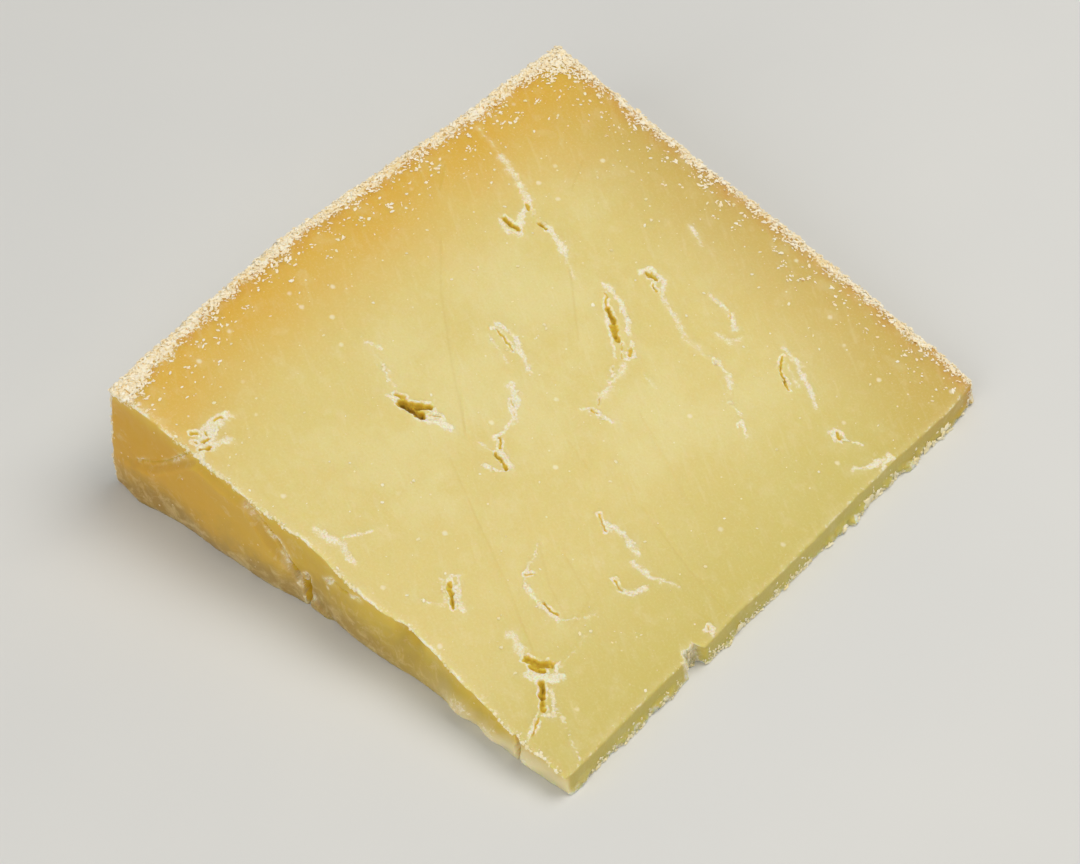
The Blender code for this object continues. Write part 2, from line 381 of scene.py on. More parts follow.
def upper_marks(x, y):
    """Depth, chalk and fineness of the upper cut at each point of the plan.

    Depth is a slot's depth times an eased wall. Chalk falls off from a slot's edge or from
    a scar's middle as a bell curve. Fineness is how near a slot the point is, from 0 to 1."""
    bent_x, bent_y = torn_plan(x, y)
    patches = smooth(0.55 + 1.1 * noise(in_plan(x, y), 1.8, 29, layers=2))
    depth = np.zeros_like(x)
    chalk = np.zeros_like(x)
    near = np.zeros_like(x)
    for path, half_width, deep in SLOTS:
        gap = path_distance(bent_x, bent_y, path) - half_width
        wall = WALL + 0.75 * half_width
        depth = np.maximum(depth, SLOT_SHARE * deep * smooth((0.3 * wall - gap) / wall))
        lip = bell(np.maximum(gap, 0), LIP_REACH)
        lip = lip * min(1, 0.6 + half_width) * (0.35 + 0.55 * patches)
        chalk = np.maximum(chalk, lip)
        near = np.maximum(near, smooth((2.6 - gap) / 1.6))
    for path, half_width, strength in SCARS:
        gap = path_distance(bent_x, bent_y, path)
        wide = half_width * (0.7 + 0.9 * patches)
        chalk = np.maximum(chalk, strength * bell(gap, wide))
        chalk = np.maximum(chalk, 0.35 * strength * bell(gap, wide + HALO))
    return depth, chalk, near


def wire_steps(x, y):
    """Height of the wire's steps: full at the line on one side of it, fading out with
    distance, and nothing on the other side. The ends of a line fade out too."""
    height = np.zeros_like(x)
    for path, rise, reach in STEPS:
        gap = path_distance(x, y, path)
        across = side_of_path(x, y, path)
        on_side = smooth(across / np.hypot(*np.subtract(path[-1], path[0])) / 0.3 + 0.5)
        height += rise * on_side * np.exp(-gap / reach) * smooth((reach * 2.2 - gap) / reach)
    return height


def upper_cut(x, y):
    """Z of the upper cut: the tilted plane, a slow wave, the wire's steps, less the slots,
    with the chalky places roughened."""
    plane = math.tan(CUT_ANGLE) * (AXIS_X - x)
    flat = in_plan(x, y)
    depth, chalk, _ = upper_marks(x, y)
    wave = 0.20 * noise(flat, 24, 31, layers=4, gain=0.5)
    drag = 0.035 * noise(np.stack([x + y, (x - y) / 9, x * 0], axis=1), 3.0, 37, layers=2)
    floor = depth * (0.86 + 0.50 * noise(flat, 0.9, 41, layers=2))
    torn = chalk * (0.20 * noise(flat, 0.9, 43, layers=2) + 0.10)
    return plane + wave + drag + wire_steps(x, y) + torn - floor


# %% [markdown]
# ## The other five sides
#
# The round rind follows the wheel's arc and swells like a barrel. The broken side was snapped,
# not cut: it has a ledge, cracks that run in from the edge, hollows and lumps. The nose is a
# clean cut with a bite out of it, and its foot is ragged where it was pressed on the board.

# %% Paths on the broken side
# Cracks: path in X and Z, half width, depth into the side, how dark their painted shade is from 0
# to 1.
SIDE_CRACKS = (
    (
        [(-24.0, 22.8), (-19.0, 19.6), (-15.2, 16.2), (-11.8, 10.3), (-8.4, 6.2), (-6.2, 3.0)],
        0.40,
        1.5,
        0.68,
    ),
    ([(-7.0, 0.2), (-7.6, 4.6), (-8.0, 9.4)], 0.42, 2.0, 0.74),
    ([(55.0, 9.6), (55.4, 6.0), (55.8, 0.6)], 0.55, 2.2, 0.70),
    ([(-57.0, 14.4), (-52.0, 16.8), (-47.8, 20.0), (-44.0, 23.8), (-40.6, 27.4)], 0.14, 0.8, 0.95),
    ([(-2.2, 12.4), (0.6, 15.4), (3.2, 14.2), (8.6, 15.8)], 0.28, 0.6, 0.45),
)

# Lumps: X and Z of the middle, radii along X and Z, height, how chalky they are and how dark
# their painted shade is, from 0 to 1. The last one is a hollow, so its height is below zero,
# and only it is darkened with painted shade.
SIDE_LUMPS = (
    (38.6, 5.0, 5.4, 3.6, 2.2, 0.40, 0.0),
    (47.8, 4.0, 4.0, 3.0, 1.9, 0.40, 0.0),
    (58.0, 3.0, 4.0, 2.4, 0.8, 0.40, 0.0),
    (22.0, 2.0, 16.0, 5.0, 1.2, 0.0, 0.0),
    (3.0, 6.0, 6.0, 5.0, 0.9, 0.0, 0.0),
    (-30.0, 8.0, 13.0, 7.0, 1.3, 0.0, 0.0),
    (-52.0, 17.0, 9.0, 5.0, 0.7, 0.0, 0.0),
    (22.4, 13.0, 3.0, 5.6, -1.9, 0.0, 0.55),
)

# The ledge left by the break: its height Z at places along X.
LEDGE_X = np.array([-70, -52, -38, -24, -12, -4, 6.0])
LEDGE_Z = np.array([9, 15, 27, 22.5, 10, 3, -4.0])


def lump_share(x, z, lump):
    """How much of a lump's height each point has: 1 at its middle, falling off as the
    exponential of the distance in radii, cubed."""
    away = ((x - lump[0]) / lump[2]) ** 2 + ((z - lump[1]) / lump[3]) ** 2
    return np.exp(-(away**1.5))


def broken_side(x, w):
    """Y of the broken side: its wandering line in plan, then the ledge, lumps, cracks and
    grain as functions of X and height. Lower Y is further out."""
    after = np.clip(np.searchsorted(BROKEN_X, x), 1, len(BROKEN_X) - 1)
    way = (x - BROKEN_X[after - 1]) / (BROKEN_X[after] - BROKEN_X[after - 1])
    line = between(BROKEN_Y[after - 1], BROKEN_Y[after], smooth(way))
    z = w * math.tan(CUT_ANGLE) * (AXIS_X - x)
    face = np.stack([x, x * 0, z], axis=1)
    bent_x = x + 0.5 * noise(face, 1.6, 53, layers=2)
    bent_z = z + 0.5 * noise(face, 1.6, 59, layers=2)

    ledge = np.interp(x, LEDGE_X, LEDGE_Z)
    below = smooth((ledge - z) / 1.8)
    inward = 0.9 - 1.2 * below * smooth((x + 66) / 10)
    foot = smooth((5.5 - z) / 5.5)
    inward = inward - 0.6 * foot**2 * bell(x - LOW[0] - 6, 11) + 0.3 * foot**3
    for lump in SIDE_LUMPS:
        inward = inward - lump[4] * lump_share(x, z, lump)
    for path, half_width, deep, _ in SIDE_CRACKS:
        gap = path_distance(bent_x, bent_z, path) - half_width
        inward = inward + deep * smooth((0.3 - gap) / 0.6)
    grain = 0.45 * noise(face, 11, 61, layers=3, gain=0.55) + 0.10 * noise(face, 1.3, 67, layers=2)
    crest = smooth((w - 0.90) / 0.10)
    chips = np.maximum(noise(in_plan(x, x * 0), 2.6, 71, layers=3), 0) * 0.9
    return line + inward * (1 - 0.75 * crest) + grain * (1 - 0.5 * crest) + chips * crest


# %% Round rind, nose and flat end
BITE_Y = -31.4
BITE_HALF = 2.8
BITE_DEEP = 2.7

# How far the nose stands out of its plane, at places along Y.
NOSE_Y = np.array([-76, -60, -45, -34, -28, -15, 0, 12, 25, 45, 66, 77.0])
NOSE_OUT = np.array([0.5, 0.4, 0.1, 0.1, 0.7, 0.3, 0.4, 0.1, -0.3, -0.2, 0.1, -0.9])

# How far the round rind stands out of its arc, at places along Y.
RIND_Y = np.array([-76, -60, -40, -20, 0, 20, 35, 50, 65, 77.0])
RIND_OUT = np.array([0.7, 1.0, 0.5, 0.2, 0.4, 1.1, 1.5, 1.3, 1.0, 1.0])


def round_rind(y, w):
    """X of the round rind: an arc about the wheel's axis with a barrel swell along Y."""
    away = np.clip(np.abs(y - BULGE_CENTRE) / BULGE_REACH, 0, 1)
    radius = WHEEL_RADIUS + RIND_BULGE * np.cos(np.pi / 2 * away) ** 2
    dents = noise(np.stack([y, w * 34, w * 0], axis=1), 16, 73, layers=3)
    swelling = 0.2 + np.interp(y, RIND_Y, RIND_OUT)
    return AXIS_X - swelling - radius * np.cos(w * CUT_ANGLE) + 0.5 * dents


def nose_fringe(y, w):
    """How far the ragged fringe stands out along the nose's foot, from 0 to about 1: noise
    that is cut off below, kept to the lower half and to patches along Y."""
    face = np.stack([y * 0, y, w * 6.3], axis=1)
    foot = smooth((0.52 - w) / 0.34)
    patches = noise(in_plan(y, y * 0), 7.0, 89, layers=2) * 1.2 + 0.45
    patches = smooth(patches + 0.6 * bell(y - 42, 18))
    return foot * patches * np.maximum(noise(face, 2.4, 97, layers=4, gain=0.6) + 0.25, 0)


def nose(y, w):
    """X of the nose: nearly plumb, with the bite, and a ragged foot of pressed-out crumbs."""
    face = np.stack([y * 0, y, w * 6.3], axis=1)
    jag = 0.7 * noise(face, 1.7, 79, layers=2)
    bite = BITE_DEEP * smooth((BITE_HALF + jag - np.abs(y - BITE_Y)) / 0.9)
    bite = bite * (0.8 + 0.3 * noise(face, 1.2, 83, layers=2))
    wander = np.interp(y, NOSE_Y, NOSE_OUT) + 0.2 * noise(in_plan(y, y * 0), 9, 101, layers=2)
    edge = 0.22 * smooth((w - 0.8) / 0.2) * noise(face, 1.1, 103, layers=2)
    return NOSE_X - 0.8 - 0.6 * w + wander + edge + 1.9 * nose_fringe(y, w) - bite


def flat_end(x, w):
    """Y of the drum's flat end, with a lip by the round rind and a worn corner by the nose."""
    u = (x - LOW[0]) / (HIGH[0] - LOW[0])
    lip = RIND_LIP * bell(u, 0.08) - RIND_LIP * np.clip(u, 0, 1) ** 6
    dents = noise(np.stack([x, x * 0, w * 30], axis=1), 15, 107, layers=3)
    return FLAT_END + 0.2 + lip + 0.45 * dents


# %% [markdown]
# ## From block to cheese
#
# A point of the block's surface has u along X, v along Y and w along Z. It is placed between
# the six sides, and then its sharp edges are rounded: the point is pulled back into a block
# that is smaller by the rounding radius, and pushed out again by that radius in the direction
# it came from. A face point comes back to where it was, and an edge becomes an arc. The cut
# edges stay crisp and the rind's edges soft, so the radius changes from place to place.

# %% Placing and rounding
CUT_RADIUS = 0.40
RIND_RADIUS = 1.5
CORNER_RADIUS = 2.6
CRUST_REACH = 4.6
CRUST_CORNER = 14


def plan(u, v, w):
    """X and Y of block points, with the limits that they lie between: first along X at a rough
    Y, and then along Y at the X just found."""
    y_rough = between(-HALF_Y, HALF_Y, v)
    x_low, x_high = round_rind(y_rough, w), nose(y_rough, w)
    x = between(x_low, x_high, u)
    y_low, y_high = broken_side(x, w), flat_end(x, w)
    return x, between(y_low, y_high, v), x_low, x_high, y_low, y_high


def place(u, v, w):
    """Points, outward directions and distances (in mm) to the six sides for block points."""
    x, y, x_low, x_high, y_low, y_high = plan(u, v, w)
    top = upper_cut(x, y)
    z = w * top
    gaps = np.stack([x - x_low, x_high - x, y - y_low, y_high - y, z, top - z], axis=1)

    near_round = 1 - smooth((gaps[:, 0] - 2) / 7)
    near_flat = 1 - smooth((gaps[:, 3] - 2) / 6)
    near_rind = np.maximum(near_round, near_flat)
    radius = between(CUT_RADIUS, RIND_RADIUS, near_rind)
    radius = radius + (CORNER_RADIUS - RIND_RADIUS) * near_round * near_flat
    radius = np.minimum(radius, 0.45 * top)
    short = np.maximum(radius[:, None] - gaps, 0)
    push = short[:, 0::2] - short[:, 1::2]
    length = np.linalg.norm(push, axis=1)[:, None]
    out = -push / np.maximum(length, 1e-9)
    points = np.stack([x, y, z], axis=1) + push + radius[:, None] * out
    return points, out, gaps


def crust_cover(points, gaps):
    """How much crust covers each point, from 0 to 1: full on the rind, reaching a few ragged
    millimetres onto the cuts, and snapped off short at the broken side."""
    ragged = 2.6 * noise(points, 5.0, 109, layers=4, gain=0.7)
    reach = CRUST_REACH + 2.4 * bell(points[:, 1] - LOW[1], CRUST_CORNER)
    by_round = smooth((reach + 1.2 + ragged - gaps[:, 0]) / 5.2)
    reach = 0.74 * CRUST_REACH + 1.5 * bell(points[:, 0] - LOW[0], CRUST_CORNER)
    by_flat = smooth((reach + 1.0 + ragged - gaps[:, 3]) / 4.6)
    on_broken = (1 - smooth((gaps[:, 2] - 0.8) / 1.6)) * smooth((gaps[:, 5] - 0.6) / 2.4)
    snapped = smooth((1.5 + 0.3 * ragged - gaps[:, 0]) / 1.4)
    return np.maximum(between(by_round, snapped, on_broken), by_flat)


def cheese_surface(u, v, w):
    """The finished skin: the placed and rounded block with the crust's grain pushed out of it,
    and nothing below the board."""
    points, out, gaps = place(u, v, w)
    cover = crust_cover(points, gaps)
    grain = 0.55 * np.maximum(noise(points, 1.15, 113, layers=2, gain=0.6), -0.4)
    lumps = 0.40 * noise(points, 4.2, 127, layers=2)
    points = points + out * ((grain + lumps) * cover)[:, None]
    points[:, 2] = np.maximum(points[:, 2], 0.0)
    return points, out, gaps, cover


# %% [markdown]
# ## A skin that is fine where it matters
#
# A tear in the paste needs quarter-millimetre faces, and a plain stretch of cut doesn't. So
# each side of the block is divided like a street map: blocks of 8 units, split into 4, 2 or 1
# where the surface asks for it. Where a large face meets small ones, the small ones' corners
# become extra corners of the large face, so no gap can open between them.

# %% Dividing the block
# Units along X, Y and Z: a quarter of a millimetre in plan, and at most half of one in height.
UNITS = np.array([560, 608, 64])
SIZES = (8, 4, 2, 1)

# Each side of the block: the axis that it faces along, and which end of it the side is at.
SIDES = {
    "round_rind": (0, 0),
    "nose": (0, 1),
    "broken_side": (1, 0),
    "flat_end": (1, 1),
    "lower_cut": (2, 0),
    "upper_cut": (2, 1),
}


def side_fractions(name, first, second):
    """u, v and w of places on a side, given as units along its own two directions."""
    axis, end = SIDES[name]
    places = [None, None, None]
    places[axis] = np.full(len(first), float(end))
    along = [a for a in range(3) if a != axis]
    places[along[0]] = first / UNITS[along[0]]
    places[along[1]] = second / UNITS[along[1]]
    return places


def wanted_size(name, u, v, w):
    """The face size that each place needs, in units: 1 by slots, cracks and wire lines, 2 on
    chalk, rind and edges, 4 a little further out, and 8 on plain ground."""
    if name == "lower_cut":
        edge = np.minimum(np.minimum(u, 1 - u) * LENGTH, np.minimum(v, 1 - v) * BREADTH)
        return np.where(edge < 1.5, 2, np.where(edge < 5, 4, 8))
    x, y, x_low, x_high, y_low, y_high = plan(u, v, w)
    if name == "upper_cut":
        _, chalk, near = upper_marks(x, y)
        step = nearest_step(x, y)
        edge = np.min([x_high - x, y - y_low, x - x_low, y_high - y], axis=0)
        size = np.full(len(x), 8)
        size[(step < 2.4) | (edge < 8) | (chalk > 0.10)] = 4
        size[(step < 0.9) | (edge < 3.5) | (chalk > 0.36)] = 2
        size[(near > 0.75) | (step < 0.4)] = 1
        return size
    if name == "nose":
        return np.where((w < 0.5) | (np.abs(y - BITE_Y) < 5), 2, 4)
    if name == "broken_side":
        z = w * math.tan(CUT_ANGLE) * (AXIS_X - x)
        cracks = [path_distance(x, z, path) - width for path, width, _, _ in SIDE_CRACKS]
        return np.where(np.min(cracks, axis=0) < 0.9, 1, 2)
    return np.full(len(x), 2)


def side_leaves(name):
    """The faces that cover one side: arrays of first and second unit and size.

    The smallest size wanted inside each square of 8 units decides whether it is split, and
    the same again for the squares of 4 and 2 inside it."""
    axis, _ = SIDES[name]
    along = [a for a in range(3) if a != axis]
    across, up = UNITS[along]
    first, second = np.meshgrid(np.arange(across) + 0.5, np.arange(up) + 0.5, indexing="ij")
    places = side_fractions(name, first.ravel(), second.ravel())
    wanted = wanted_size(name, *places).reshape(across, up)
    open_ground = np.ones((across // 8, up // 8), bool)
    leaves = []
    for size in SIZES:
        smallest = wanted.reshape(across // size, size, up // size, size).min(axis=(1, 3))
        settled = open_ground & (smallest >= size)
        corner = np.argwhere(settled) * size
        leaves.append((corner[:, 0], corner[:, 1], size))
        open_ground = open_ground & ~settled
        if size > 1:
            open_ground = np.repeat(np.repeat(open_ground, 2, axis=0), 2, axis=1)
    return leaves


def ring(size):
    """The places round a face's border, in order: 4 times its size of them."""
    steps = np.arange(size)
    full = np.full(size, size)
    none = np.zeros(size, int)
    first = np.concatenate([steps, full, size - steps, none])
    second = np.concatenate([none, steps, full, size - steps])
    return first, second


# %% Building the skin
def block_ids(name, first, second):
    """One number for each lattice point of the block, from a side's own two directions."""
    axis, end = SIDES[name]
    grid = [None, None, None]
    grid[axis] = np.full(first.shape, end * UNITS[axis])
    along = [a for a in range(3) if a != axis]
    grid[along[0]], grid[along[1]] = first, second
    return (grid[0] * (UNITS[1] + 1) + grid[1]) * (UNITS[2] + 1) + grid[2]


def divided_block():
    """Fractions of every corner that is used, and each face's corners in order.

    First every face marks its four corners. Then each face walks round its border and keeps
    the marked places, its own corners and its finer neighbours'."""
    leaves = [(name, *leaf) for name in SIDES for leaf in side_leaves(name)]
    marked = np.zeros(np.prod(UNITS + 1), bool)
    for name, first, second, size in leaves:
        for step_1 in (0, size):
            for step_2 in (0, size):
                marked[block_ids(name, first + step_1, second + step_2)] = True
    corners, counts = [], []
    for name, first, second, size in leaves:
        walk_1, walk_2 = ring(size)
        axis, end = SIDES[name]
        if (end == 1) == (axis == 1):
            walk_1, walk_2 = walk_1[::-1], walk_2[::-1]
        ids = block_ids(name, first[:, None] + walk_1, second[:, None] + walk_2)
        kept = marked[ids]
        corners.append(ids[kept])
        counts.append(kept.sum(axis=1))
    used = np.flatnonzero(marked)
    corners = np.searchsorted(used, np.concatenate(corners))
    grid = np.stack(np.unravel_index(used, UNITS + 1), axis=1)
    return grid / UNITS, corners, np.concatenate(counts)


def mesh_from_faces(name, points, corners, counts):
    """A mesh from points in mm, the faces' corners end to end, and each face's count."""
    mesh = bpy.data.meshes.new(name)
    mesh.vertices.add(len(points))
    mesh.vertices.foreach_set("co", (points * MM).astype(np.float32).ravel())
    mesh.loops.add(len(corners))
    mesh.loops.foreach_set("vertex_index", corners.astype(np.int32))
    mesh.polygons.add(len(counts))
    mesh.polygons.foreach_set("loop_start", (np.cumsum(counts) - counts).astype(np.int32))
    mesh.update(calc_edges=True)
    mesh.validate()
    mesh.shade_smooth()
    obj = bpy.data.objects.new(name, mesh)
    bpy.context.scene.collection.objects.link(obj)
    return obj


def paint(obj, name, values):
    """Stores one number for each point of a mesh, for the material to read."""
    attribute = obj.data.attributes.new(name, "FLOAT", "POINT")
    attribute.data.foreach_set("value", values.astype(np.float32))


fractions, corners, counts = divided_block()
skin_points, _, skin_gaps, skin_cover = cheese_surface(*fractions.T)
cheese = mesh_from_faces("cheese", skin_points, corners, counts)
print("cheese:", len(skin_points), "points,", int((counts - 2).sum()), "triangles,")
print("made in", round(time.perf_counter() - started, 1), "s")

# %% [markdown]
# ## What the material needs to know
#
# The paste's colour depends on where it is: tan beside the rind, pale in the middle, chalky
# where it tore, with painted highlight along the lit edges, and a deeper gold of painted shade
# down in a slot and in the broken side's cracks. The geometry knows all that, so it is stored
# as numbers on the points, and the material only has to read them.

# %% Numbers for the material
MARKS = ("from_round", "from_flat", "crust", "chalk", "cavity", "wire", "broken")
FULL_CAVITY = 2.2
WIRE_WIDTH = 0.24


def edge_chalk_and_highlight(points, gaps, on_top, w):
    """Chalk where the skin was torn or crushed: the crest of the broken side, the upper lip of
    the nose, the nose's ragged foot and the bite. The lines along the crest and the nose's lip
    are partly chalk and partly painted highlight on these lit edges. Each is a bell curve of the
    distance to an edge or a side, and the strongest one counts. The patches that thin it out
    are given too."""
    _, from_nose, from_broken, _, from_foot, from_top = gaps.T
    y = points[:, 1]
    patches = smooth(0.55 + 1.3 * noise(points, 3.4, 131, layers=3, gain=0.6))
    bite = smooth((BITE_HALF + 1.0 - np.abs(y - BITE_Y)) / 0.8)
    kinds = (
        # The crest and the nose's upper lip: crumbled chalk, and partly painted highlight on the
        # lit edge.
        bell(np.hypot(from_broken, from_top), 0.75) * patches * 0.80,
        0.34 * bell(from_broken, 2.8) * on_top,
        bell(np.hypot(from_nose, from_top), 0.6) * patches * 0.45,
        0.30 * bell(from_nose, 2.0) * on_top,
        bell(np.hypot(from_nose, from_foot), 1.2) * 0.60,
        0.75 * smooth(nose_fringe(y, w) * 1.6) * smooth(1 - from_nose),
        bite * bell(from_nose, 0.8) * 0.50,
    )
    return np.max(kinds, axis=0), patches


def side_marks(points, on_side, patches):
    """Chalk and painted shade of the broken side: each lump has its own shares of both, and a
    crack is darkened inside with painted shade and chalky along its lips."""
    x, z = points[:, 0], points[:, 2]
    chalk, dark = np.zeros(len(x)), np.zeros(len(x))
    for lump in SIDE_LUMPS:
        share = lump_share(x, z, lump)
        chalk = np.maximum(chalk, lump[5] * share)
        # Painted shade in the hollow.
        dark = np.maximum(dark, lump[6] * on_side * share)
    for path, half_width, _, darkness in SIDE_CRACKS:
        gap = path_distance(x, z, path) - half_width
        # Painted shade inside the crack, and chalk along its lips.
        dark = np.maximum(dark, on_side * smooth((0.2 - gap) / 0.4) * darkness)
        chalk = np.maximum(chalk, 0.5 * bell(np.maximum(gap, 0), 1.3) * patches)
    return chalk * on_side, dark


def store_marks(obj, points, gaps, cover, w):
    """Stores the distances to the two rinds, the crust, the chalk with the painted highlight of
    the crest and the nose's lip, the depth in a slot and the darkness of the side's cracks and
    hollow for painted shade, the nearness of a wire line for its painted shade, and how far
    round onto the broken side the point is."""
    x, y = points[:, 0], points[:, 1]
    on_top = (w > 0.999).astype(float)
    on_side = smooth((1.2 - gaps[:, 2]) / 1.2) * (1 - on_top)
    depth, chalk, _ = upper_marks(x, y)
    torn, patches = edge_chalk_and_highlight(points, gaps, on_top, w)
    side_chalk, side_painted_shade = side_marks(points, on_side, patches)
    values = (
        gaps[:, 0],
        gaps[:, 3],
        cover,
        np.max([chalk * on_top, torn, side_chalk], axis=0),
        # Slot depth, and the side's cracks and hollow, both drawn as painted shade by the
        # material.
        np.maximum(np.clip(depth / FULL_CAVITY, 0, 1) * on_top, side_painted_shade),
        bell(nearest_step(x, y), WIRE_WIDTH) * on_top,
        on_side,
    )
    for name, value in zip(MARKS, values):
        paint(obj, name, value)


store_marks(cheese, skin_points, skin_gaps, skin_cover, fractions[:, 2])

# %% [markdown]
# ## Nodes without fuss
#
# Materials are made of nodes. One small function adds a node of any kind, sets its properties,
# and gives its inputs a number, a colour, or the output of another node. Colours are written
# as the usual hex values and turned into the linear numbers that light works in.

# %% Helpers for materials
def linear(hex_colour):
    """Linear RGB from an sRGB hex colour: each channel is divided by 12.92 when it is dark,
    or else raised to the power 2.4 after the standard's shift and scale."""
    channels = [int(hex_colour[i : i + 2], 16) / 255 for i in (1, 3, 5)]
    light = [c / 12.92 if c <= 0.04045 else ((c + 0.055) / 1.055) ** 2.4 for c in channels]
    return (*light, 1.0)


def add(tree, kind, inputs=(), **settings):
    """Adds a node with its settings, and fills its inputs with values or other outputs.

    Inputs are given by name or number, or in order for those that the settings leave live.
    A node that is given as an input stands for its first live output."""
    made = tree.nodes.new("ShaderNode" + kind)
    for name, value in settings.items():
        setattr(made, name, value)
    if not isinstance(inputs, dict):
        live = [i for i, socket in enumerate(made.inputs) if socket.enabled]
        inputs = dict(zip(live, inputs))
    for key, value in inputs.items():
        if isinstance(value, bpy.types.Node):
            value = next(socket for socket in value.outputs if socket.enabled)
        if isinstance(value, bpy.types.NodeSocket):
            tree.links.new(value, made.inputs[key])
        else:
            made.inputs[key].default_value = value
    return made


# Settings that many nodes share: a range that eases in and out, a product, a mix of colours.
EASED = {"interpolation_type": "SMOOTHSTEP"}
TIMES = {"operation": "MULTIPLY"}
COLOURS = {"data_type": "RGBA"}


def features(size):
    """The Scale of a noise whose features have the given size in mm."""
    return 1 / (size * MM)


def start_material(name):
    """A new empty material, and its Object coordinates."""
    material = bpy.data.materials.new(name)
    material.use_nodes = True
    tree = material.node_tree
    tree.nodes.clear()
    return material, tree, add(tree, "TexCoord").outputs["Object"]


# %% [markdown]
# ## Matured cheddar paste
#
# Cheddar is milk protein and fat: waxy, faintly translucent, with a soft satin light on the
# cut. Light goes in a few millimetres and comes out yellower, which is subsurface scattering,
# strongest in red. Fat has an IOR of about 1.46. Beside the rind the paste has dried to a
# horny tan, and its torn places scatter light and look chalk white. A slot gets a deeper gold
# of painted shade, darker with depth, standing in for the light that has been through the
# paste more than once down there.

# %% Colours of the paste
PASTE_HEX = {
    "core": "#E4D792",
    "core_warm": "#E0CF80",
    "nose": "#CCBC54",
    "by_round": "#DFB334",
    "by_flat": "#CBAA40",
    "rind_line": "#D08E34",
    "chalk": "#F3ECC8",
    "chalk_lit": "#FFFAEC",
    "chalk_shade": "#F0E2B0",
    # Painted shade of the slots, from the lip down to the deepest floor, also used in the side's
    # cracks.
    "slot": "#E6CC50",
    "slot_floor_shade": "#D2B030",
    "slot_deep_shade": "#96700C",
    "side_rim": "#D5A42A",
    "side_nose": "#D0B63E",
    "side_foot": "#A08040",
    "side_crest": "#E2C23A",
    "smear": "#E0CA94",
    "pale_foot": "#EADFB4",
    "bloom": "#FFF7E0",
    "bloom_shade": "#F6DFA8",
    "speck": "#F8F0D8",
}
PASTE = {name: linear(colour) for name, colour in PASTE_HEX.items()}


def paste_colour(tree, marks, where):
    """Colour of the sound paste: pale in the core, greener to the nose, tan by both rinds.

    The reach of each tone is bent by slow noise, so that no border is a straight line."""
    slow = add(tree, "TexNoise", {"Vector": where, "Scale": features(24), "Detail": 3})
    middle = add(tree, "TexNoise", {"Vector": where, "Scale": features(5), "Detail": 3})
    along, across, up = add(tree, "SeparateXYZ", (where,)).outputs
    cloud = add(tree, "Math", (slow, add(tree, "Math", (middle, 0.35), **TIMES)))
    cloud = add(tree, "MapRange", (cloud, 0.55, 0.80), **EASED)
    to_break = add(tree, "MapRange", (across, -74 * MM, -34 * MM, 0.55, 0.0), **EASED)
    cloud = add(tree, "Math", (cloud, to_break))
    colour = add(tree, "Mix", (cloud, PASTE["core"], PASTE["core_warm"]), **COLOURS)
    to_nose = add(tree, "MapRange", (along, 25 * MM, 75 * MM, 0.0, 0.9), **EASED)
    colour = add(tree, "Mix", (to_nose, colour, PASTE["nose"]), **COLOURS)

    # Bands by the rinds: tone, distance, what bends it and by how much, near, far, strength.
    nearest = add(tree, "Math", (marks["from_round"], marks["from_flat"]), operation="MINIMUM")
    bands = (
        ("by_flat", marks["from_flat"], slow, 12, 4, 46, 0.85),
        ("by_round", marks["from_round"], slow, 26, 14, 52, 1.0),
        ("rind_line", nearest, middle, 6, 3, 10, 0.55),
    )
    shares = []
    for tone, distance, sway, strength, near, far, most in bands:
        bent = add(tree, "Math", (distance, add(tree, "Math", (sway, strength), **TIMES)))
        shares.append(add(tree, "MapRange", (bent, near, far, most, 0.0), **EASED))
        colour = add(tree, "Mix", (shares[-1], colour, PASTE[tone]), **COLOURS)
    dried = add(tree, "Math", (shares[1], shares[0]), operation="MAXIMUM")
    return mottled(tree, where, colour, middle), along, up, dried


def mottled(tree, where, colour, middle):
    """The paste's small differences: soft pale patches, the wire's drag and fine grit.

    The curd's own grain is near a tenth of a millimetre and wouldn't show, so the grit is
    drawn at half a millimetre."""
    turned = {"Vector": where, "Rotation": (0, 0, math.radians(-32)), "Scale": (12.0, 1.0, 1.0)}
    turned = add(tree, "Mapping", turned, vector_type="TEXTURE")
    drag = add(tree, "TexNoise", {"Vector": turned, "Scale": features(1.6), "Detail": 3})
    fine = {"Vector": where, "Scale": features(0.55), "Detail": 3, "Roughness": 0.7}
    fine = add(tree, "TexNoise", fine)
    patches = (
        ("chalk", drag, 0.55, 0.72, 0.10),
        ("chalk", middle, 0.52, 0.75, 0.14),
        ("chalk", fine, 0.50, 0.72, 0.14),
        ("by_flat", fine, 0.50, 0.28, 0.12),
    )
    for tone, spread, low, high, most in patches:
        share = add(tree, "MapRange", (spread, low, high, 0.0, most), **EASED)
        colour = add(tree, "Mix", (share, colour, PASTE[tone]), **COLOURS)
    return colour
